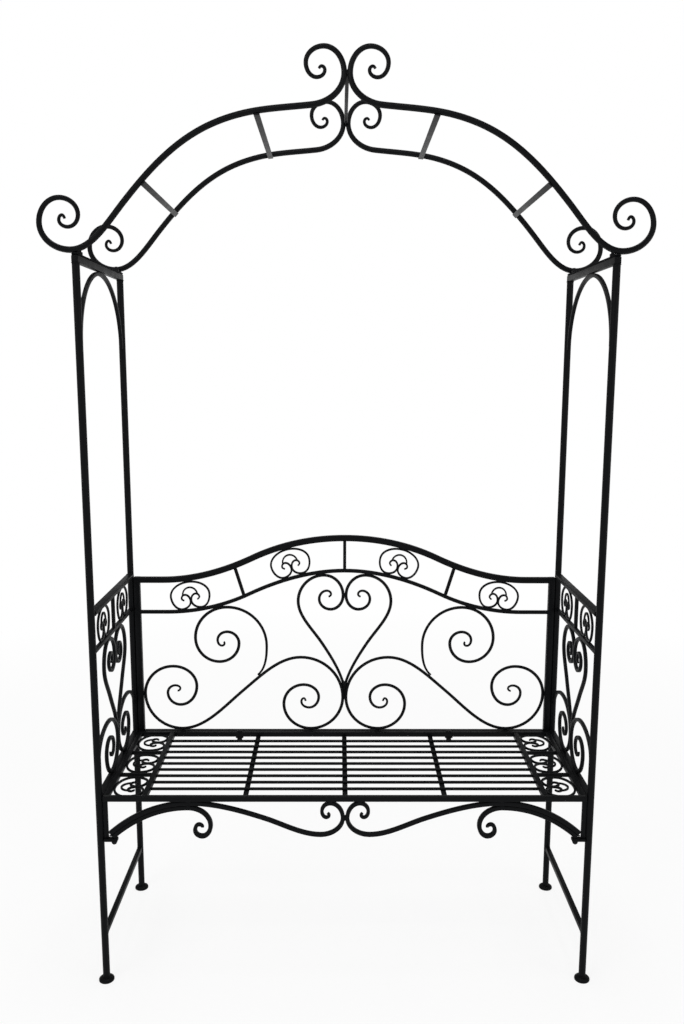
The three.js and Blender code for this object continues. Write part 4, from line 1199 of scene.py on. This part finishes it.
# %% Small bolts of the arch base
BASE_BOLT_ALONG = 160
BASE_NUT_SHARE = 0.85
BASE_NUT_HEIGHT = 6
BASE_STUB = 10.5
BASE_STUB_DIAMETER = 7
base_top = SIDE_TOP + WELD_GAP + BASE_THICKNESS
base_nut = freeze(nut((0, 0, NUT_HEIGHT)),
                  scale=(BASE_NUT_SHARE, BASE_NUT_SHARE, BASE_NUT_HEIGHT / NUT_HEIGHT))
base_stub = rod(BASE_STUB_DIAMETER, BASE_STUB, (0, 0, BASE_STUB / 2), ease=BOLT_EASE)
first_bolt = freeze(join([base_nut, base_stub]), (LEFT_SIDE, -BASE_BOLT_ALONG, base_top))
base_bolts = [first_bolt, twin(first_bolt, (0, 2 * BASE_BOLT_ALONG, 0))]
base_bolts += [twin(bolt, (2 * HALF_SPACING, 0, 0)) for bolt in base_bolts]
add_piece(join(base_bolts), "arch_base_bolts", bolt_finish)

# %% [markdown]
# ## Weld beads
# Every joint of a panel is a small arc weld, and the coat flows over it. A bead is a short run
# of metal that swells and pinches as the welder's hand pauses, and it fills the corner between
# two bars. One bead is modelled with these ripples, then stretched and turned into each joint.
# A ring of the same kind closes the joint round each post, and where a heart's point drops
# between two round shoulders, the welder fills the narrowing slot with one wedge of metal.

# %% One bead, one ring and a wedge
BEAD = 3.4
BEAD_LENGTH = 10
BEAD_STEPS = 1
RIPPLE_SHARES = (0.35, 0.95, 0.8, 1, 0.8, 1, 0.8, 0.95, 0.35)
RING_ANGLES = range(-168, 180, 24)
RING_SHARES = (0.4, 1, 0.8) + (1, 0.8) * 5 + (1, 0.4)
RING_STAND_OFF = 0.3
RING_BEAD_SHARE = 0.8
WEDGE_SHARES = (1, 0.75, 0.5, 0.25, 0)
WEDGE_TOP_SHARE = 0.25
WEDGE_BITE = 1.5
WEDGE_DEPTH_SHARE = 0.62
ripples = [((at / (len(RIPPLE_SHARES) - 1) - 0.5) * BEAD_LENGTH, 0, RIGHT, share)
           for at, share in enumerate(RIPPLE_SHARES)]
one_bead = bent_bar(ripples, BEAD, steps=BEAD_STEPS)
ring_reach = POST_DIAMETER / 2 + RING_STAND_OFF
ring_stops = [(*(way_of(angle) * ring_reach).xy, angle + UP, share)
              for angle, share in zip(RING_ANGLES, RING_SHARES)]
one_ring = bent_bar(ring_stops, BEAD * RING_BEAD_SHARE, steps=BEAD_STEPS)
beads = []


def bead(length, place, turn=(0, 0, 0)):
    beads.append(twin(one_bead, place, turn, (length / BEAD_LENGTH, 1, 1)))


def weld_wedge(contact, rise, bend_radius):
    """Fills the slot over the contact of two round shoulders that bend away at a radius."""
    stops = [(0, contact + rise + BEAD, DOWN, rise * WEDGE_TOP_SHARE)]
    # two circles of one radius part by the square of the height over that radius
    for share in WEDGE_SHARES:
        stops.append((0, contact + rise * share, DOWN, (rise * share) ** 2 / bend_radius + WEDGE_BITE))
    pool = upright(bent_bar(stops, 1, steps=BEAD_STEPS))
    return freeze(pool, scale=(1, WEDGE_DEPTH_SHARE, 1))


print("faces of a bead:", len(one_bead.data.polygons))

# %% [markdown]
# The joints of a side frame: a rail's end has a bead above, below and on both sides of it, each
# post has a ring under the top rail and on its foot, and each scroll is welded on both faces
# where it touches. A joint is written as its place in the panel, the bar's half thickness there
# and its lie.

# %% Beads of the side frame
ALONG_X, ALONG_Y, ALONG_Z = (0, 0, 0), (0, 0, 90), (0, 90, 0)
COVER_SHARE = 0.8
FACE_SHARE = 0.8
FLANK_SHARE = 0.94
FLANK_PAST_END = 1.5
RING_LIFT = 0.5
SIDE_WEDGE_RISE = 20
SIDE_BEND_RADIUS = 54
# the top rail lies on the posts, so the beads at the ends begin with the arm rail
rail_ends = [(size[0], size[2], height) for size, height in side_rails.values()][1:]
rail_ends.append((FRIEZE_BAR, FRIEZE_BAR, SIDE_FRIEZE_TOP - FRIEZE_BAR / 2))
for end in (-1, 1):
    for width, depth, height in rail_ends:
        for way in (-1, 1):
            bead(width * COVER_SHARE, (LEFT_SIDE, end * SIDE_HALF, height + way * depth / 2))
            flank = LEFT_SIDE + way * width / 2 * FLANK_SHARE
            bead(depth, (flank, end * (SIDE_HALF + FLANK_PAST_END), height), ALONG_Z)
    for height in (POST_TOP - RING_LIFT, FOOT_THICKNESS + RING_LIFT):
        beads.append(twin(one_ring, (LEFT_SIDE, end * HALF_DEPTH, height)))
side_joints = [
    (heart_on_frieze[0], heart_on_frieze[1] + half_rod, half_rod, ALONG_Y),
    (curl_on_post[0] - half_rod, curl_on_post[1], half_rod, ALONG_Z),
    (curl_on_rail[0], curl_on_rail[1] - half_rod, half_rod, ALONG_Y),
    (0, heart_on_twin[1], half_rod, ALONG_Z),
    (0, curl_on_twin[1], half_rod, ALONG_Z),
    (0, lancet_crown + LANCET_ROD / 2, LANCET_ROD / 2, ALONG_Y),
    (-SIDE_HALF, lancet_crown - LANCET_DROP + BEAD_LENGTH, LANCET_ROD / 2, ALONG_Z),
]
for along, height, reach, lie in side_joints:
    for face in (-1, 1):
        for end in ((-1, 1) if along else (1,)):
            bead(BEAD_LENGTH, (LEFT_SIDE + face * reach * FACE_SHARE, end * along, height), lie)
beads.append(to_the_side(weld_wedge(curl_on_twin[1], SIDE_WEDGE_RISE, SIDE_BEND_RADIUS)))
print("beads so far:", len(beads))

# %% [markdown]
# The back, the apron and the arch are flat panels, so their joints are places across and up in
# the panel's plane. Where a joint lies on the middle line it is made once, and the rest are made
# on the left and mirrored with the side frame. The two bars of the apron lie so close that one
# long seam joins them from their feet to the top of the bow.

# %% Joints of the back, the apron and the arch


def beside(along, stop, bar, heading, lie):
    """The joint on the side of a bar that faces a heading, at one of its stops."""
    out = way_of(heading) * bar / 2
    return along, stop[0] + out.x, stop[1] + out.y, bar / 2, lie


def under_the_frieze(stops, crown):
    """The joint where the round top past a crown stop meets the frieze rail, which slopes."""
    peak, shoulder = stops[crown], stops[crown + 1]
    reach, drop = peak[0] - shoulder[0], peak[1] - shoulder[1]
    across = peak[0]
    for _ in range(WALK_ROUNDS):
        slope = rail_at(frieze_line, across)[1]
        lean = math.atan(reach / drop * math.tan(math.radians(slope)))
        across = peak[0] - reach * math.sin(lean)
    out = Matrix.Rotation(math.radians(slope), 2) @ Vector((0, half_rod))
    height = peak[1] - drop * (1 - math.cos(lean))
    return HALF_DEPTH, across + out.x, height + out.y, half_rod, (0, -slope, 0)


# each joint: depth, across, up, half the bar's thickness and the lie of the bead
left_joints = [
    *(beside(HALF_DEPTH, scroll_stops[at], SCROLL_ROD, DOWN, ALONG_X) for at in SCROLL_ON_RAIL),
    beside(HALF_DEPTH, scroll_stops[SCROLL_ON_STILE], SCROLL_ROD, LEFT, ALONG_Z),
    under_the_frieze(curl_stops, CURL_CROWN),
    under_the_frieze(heart_stops, HEART_CROWN),
    (HALF_DEPTH, -BACK_HALF, BACK_END, BACK_RAIL / 2, ALONG_Z),
    (HALF_DEPTH, -BACK_HALF, BACK_END - FRIEZE_DROP, FRIEZE_BAR / 2, ALONG_Z),
    (HALF_DEPTH, -BACK_HALF, SEAT_TOP - BACK_RAIL / 2, BACK_RAIL / 2, ALONG_Z),
    *(beside(-HALF_DEPTH, long_stops[at], APRON_BAR, UP, ALONG_X) for at in (APRON_CROWN, LONG_COIL_TOP)),
    beside(-HALF_DEPTH, short_stops[APRON_CROWN], APRON_BAR, UP, ALONG_X),
    (-HALF_DEPTH, apron_opening[0] + BEAD_LENGTH / 2, BRACKET_TOP + BEAD, APRON_BAR / 2, ALONG_X),
]
middle_joints = [
    (HALF_DEPTH, 0, scroll_stops[SCROLL_ON_TWIN][1], half_rod, ALONG_Z),
    (HALF_DEPTH, 0, heart_stops[HEART_ON_TWIN][1], half_rod, ALONG_Z),
    (-HALF_DEPTH, 0, long_stops[LONG_ON_TWIN][1], APRON_BAR / 2, ALONG_Z),
]
for along in (-HALF_DEPTH, HALF_DEPTH):
    left_joints.append((along, LEFT_SIDE, base_top, ARCH_BAR / 2, ALONG_X))
    middle_joints.append((along, 0, joint[1], ARCH_BAR / 2 * ARCH_JOINT_SHARE, ALONG_Z))
print("joints on the left and in the middle:", len(left_joints), len(middle_joints))

# %% [markdown]
# With the joints listed, the welding is one walk along the list. Each joint gets a bead on both
# faces of its bar. The strips of the arch are welded on their top face only, inside the bars.

# %% Beads of the back, the apron and the arch
STRIP_BEAD_SET_IN = 4
SEAM = 2.6
SEAM_STEPS = 24
BACK_WEDGE_RISE = 40
BACK_BEND_RADIUS = 108


def weld_joints(joints):
    for along, across, height, reach, lie in joints:
        for face in (-1, 1):
            bead(BEAD_LENGTH, (across, along + face * reach * FACE_SHARE, height), lie)


weld_joints(left_joints)
for across, height, slope in STRIP_PLACES.values():
    top = Matrix.Rotation(math.radians(slope), 2) @ Vector((0, PLATE / 2))
    for end in (-1, 1):
        along = end * (HALF_DEPTH - STRIP_BEAD_SET_IN)
        bead(STRIP_WIDTH * COVER_SHARE, (across + top.x, along, height + top.y), (0, -slope, 0))
seam_stops = [tuple((above + below) / 2 for above, below in zip(long_stops[at], short_stops[at]))
              for at in (0, APRON_CROWN)]
beads.append(upright(bent_bar(seam_stops, SEAM, steps=SEAM_STEPS), -HALF_DEPTH))
left_beads = join(beads)
beads = [left_beads, twin(left_beads, scale=MIRRORED)]
weld_joints(middle_joints)
back_wedge = weld_wedge(scroll_stops[SCROLL_ON_TWIN][1], BACK_WEDGE_RISE, BACK_BEND_RADIUS)
beads.append(freeze(back_wedge, (0, HALF_DEPTH, 0)))
for spare in (one_bead, one_ring):
    bpy.data.objects.remove(spare)
add_piece(join(beads), "weld_beads", coat)
print("pieces in all:", len(finished))

# %% [markdown]
# ## Studio
# The bench stands on a pale floor in a white room. The camera must see plain white round the
# bench, so for camera rays the floor and the world shine at full white, with a little of the
# real floor left in so that the bench still has its shadow.

# %% Floor
FLOOR_COLOUR = "#fafafa"
FLOOR_SPAN = 30
SHADOW_SHARE = 0.16
SHADOW_NEAR = 1.4
SHADOW_FAR = 3.2


def seen_directly(tree):
    """One for rays from the camera and for those that gloss or glass sends on, else nought."""
    path = add_node(tree, "ShaderNodeLightPath")
    seen = path.outputs["Is Camera Ray"]
    for ray in ("Is Glossy Ray", "Is Transmission Ray"):
        either = add_node(tree, "ShaderNodeMath", {"operation": "MAXIMUM"},
                          links={0: seen, 1: path.outputs[ray]})
        seen = either.outputs["Value"]
    return seen


clear_selection()
bpy.ops.mesh.primitive_plane_add(size=FLOOR_SPAN)
floor = bpy.context.object
floor.name = "studio_floor"
floor_paint = bpy.data.materials.new("pale_floor")
floor_tree = empty_tree(floor_paint)
plain_floor = add_node(floor_tree, "ShaderNodeBsdfDiffuse", values={"Color": linear(FLOOR_COLOUR)})
floor_shine = add_node(floor_tree, "ShaderNodeEmission", values={"Strength": 1.0})
floor_place = add_node(floor_tree, "ShaderNodeTexCoord")
floor_reach = add_node(floor_tree, "ShaderNodeVectorMath", {"operation": "LENGTH"},
                       links={"Vector": floor_place.outputs["Object"]})
floor_fade = add_node(floor_tree, "ShaderNodeMapRange",
                      values={"From Min": SHADOW_NEAR, "From Max": SHADOW_FAR,
                              "To Min": 1 - SHADOW_SHARE, "To Max": 1.0},
                      links={"Value": floor_reach.outputs["Value"]})
floor_share = add_node(floor_tree, "ShaderNodeMath", {"operation": "MULTIPLY"},
                       links={0: seen_directly(floor_tree), 1: floor_fade.outputs["Result"]})
floor_mix = add_node(floor_tree, "ShaderNodeMixShader",
                     links={0: floor_share.outputs["Value"], 1: plain_floor.outputs[0],
                            2: floor_shine.outputs[0]})
add_node(floor_tree, "ShaderNodeOutputMaterial", links={"Surface": floor_mix.outputs[0]})
floor.data.materials.append(floor_paint)
print("floor:", FLOOR_SPAN, "m across")

# %% [markdown]
# Reflections see white walls at eye level and a dimmer ceiling above them. The walls give the
# black bars their light edges, and the dimmer ceiling keeps the tops of the rails from going
# grey. The lamps stay soft and low, so the paint renders about as dark as it is written.

# %% White room
ROOM_LIGHT = 1.1
WALL_EDGE = 0.0
CEILING_EDGE = 0.35
CEILING_SHARE = 0.3
ROOM_COLOUR = "#ffffff"
world = bpy.data.worlds.new("white_room")
bpy.context.scene.world = world
world_tree = empty_tree(world)
sky_way = add_node(world_tree, "ShaderNodeTexCoord")
sky_height = add_node(world_tree, "ShaderNodeSeparateXYZ", links={"Vector": sky_way.outputs["Generated"]})
wall_share = add_node(world_tree, "ShaderNodeMapRange",
                      values={"From Min": WALL_EDGE, "From Max": CEILING_EDGE,
                              "To Min": 1.0, "To Max": CEILING_SHARE},
                      links={"Value": sky_height.outputs["Z"]})
wall_light = add_node(world_tree, "ShaderNodeMath", {"operation": "MULTIPLY"},
                      values={1: ROOM_LIGHT}, links={0: wall_share.outputs["Result"]})
world_path = add_node(world_tree, "ShaderNodeLightPath")
wall_seen = add_node(world_tree, "ShaderNodeMath", {"operation": "MAXIMUM"},
                     links={0: wall_share.outputs["Result"], 1: world_path.outputs["Is Camera Ray"]})
room_light = add_node(world_tree, "ShaderNodeBackground", values={"Color": linear(ROOM_COLOUR)},
                      links={"Strength": wall_light.outputs["Value"]})
room_white = add_node(world_tree, "ShaderNodeBackground", values={"Color": linear(ROOM_COLOUR)},
                      links={"Strength": wall_seen.outputs["Value"]})
room_mix = add_node(world_tree, "ShaderNodeMixShader",
                    links={0: seen_directly(world_tree), 1: room_light.outputs[0],
                           2: room_white.outputs[0]})
add_node(world_tree, "ShaderNodeOutputWorld", links={"Surface": room_mix.outputs[0]})
print("room light:", ROOM_LIGHT, "at the walls,", round(ROOM_LIGHT * CEILING_SHARE, 2), "overhead")

# %% [markdown]
# Three square lamps, each over two metres wide, stand in for the soft boxes of a studio. The
# wider a lamp is against its distance, the softer its light runs along a round bar.

# %% Soft lamps
# each lamp: its place and its aim in metres, its side in metres and its power in watts
LAMPS = {
    "key": ((-2.6, -3.2, 3.4), (0, 0, 1.0), 2.2, 60),
    "fill": ((3.0, -2.4, 2.0), (0, 0, 0.9), 2.4, 25),
    "top": ((0, 0.4, 4.6), (0, 0, 0), 2.6, 95),
}
for name, (place, aim, side, power) in LAMPS.items():
    bpy.ops.object.light_add(type="AREA", location=place)
    lamp = bpy.context.object
    lamp.name = name
    lamp.data.shape = "SQUARE"
    lamp.data.size = side
    lamp.data.energy = power
    lamp.rotation_euler = (Vector(aim) - Vector(place)).to_track_quat("-Z", "Y").to_euler()
    print("lamp:", name, power, "W")

# %% [markdown]
# ## Camera
# The photograph was taken from a little above arm height, close in front of the bench, with a
# slightly wide lens. The place, the tilt and the lens were found by matching the posts, rails
# and feet of the bench to their lines in the picture. The optical centre is a few pixels off
# the middle of the frame, and the shift takes that up.

# %% Camera
FRAME_HEIGHT = 1024
SENSOR = 36
FOCAL_PIXELS = 933.59
CAMERA_PLACE = (-0.0150, -2.15313, 1.39510)
PITCH_DOWN = 0.16601
YAW = 0.00501
ROLL = 0.0024
SHIFT_ACROSS = -0.00144
SHIFT_UP = 0.01288
bpy.ops.object.camera_add(location=CAMERA_PLACE)
camera = bpy.context.object
camera.data.sensor_width = SENSOR
camera.data.lens = FOCAL_PIXELS * SENSOR / FRAME_HEIGHT
camera.data.shift_x = SHIFT_ACROSS
camera.data.shift_y = SHIFT_UP
turn = (Matrix.Rotation(-YAW, 4, "Z") @ Matrix.Rotation(math.pi / 2 - PITCH_DOWN, 4, "X")
        @ Matrix.Rotation(ROLL, 4, "Z"))
camera.matrix_world = Matrix.Translation(CAMERA_PLACE) @ turn
bpy.context.scene.camera = camera
bpy.context.scene.view_settings.view_transform = "Standard"
print("lens:", round(camera.data.lens, 2), "mm")
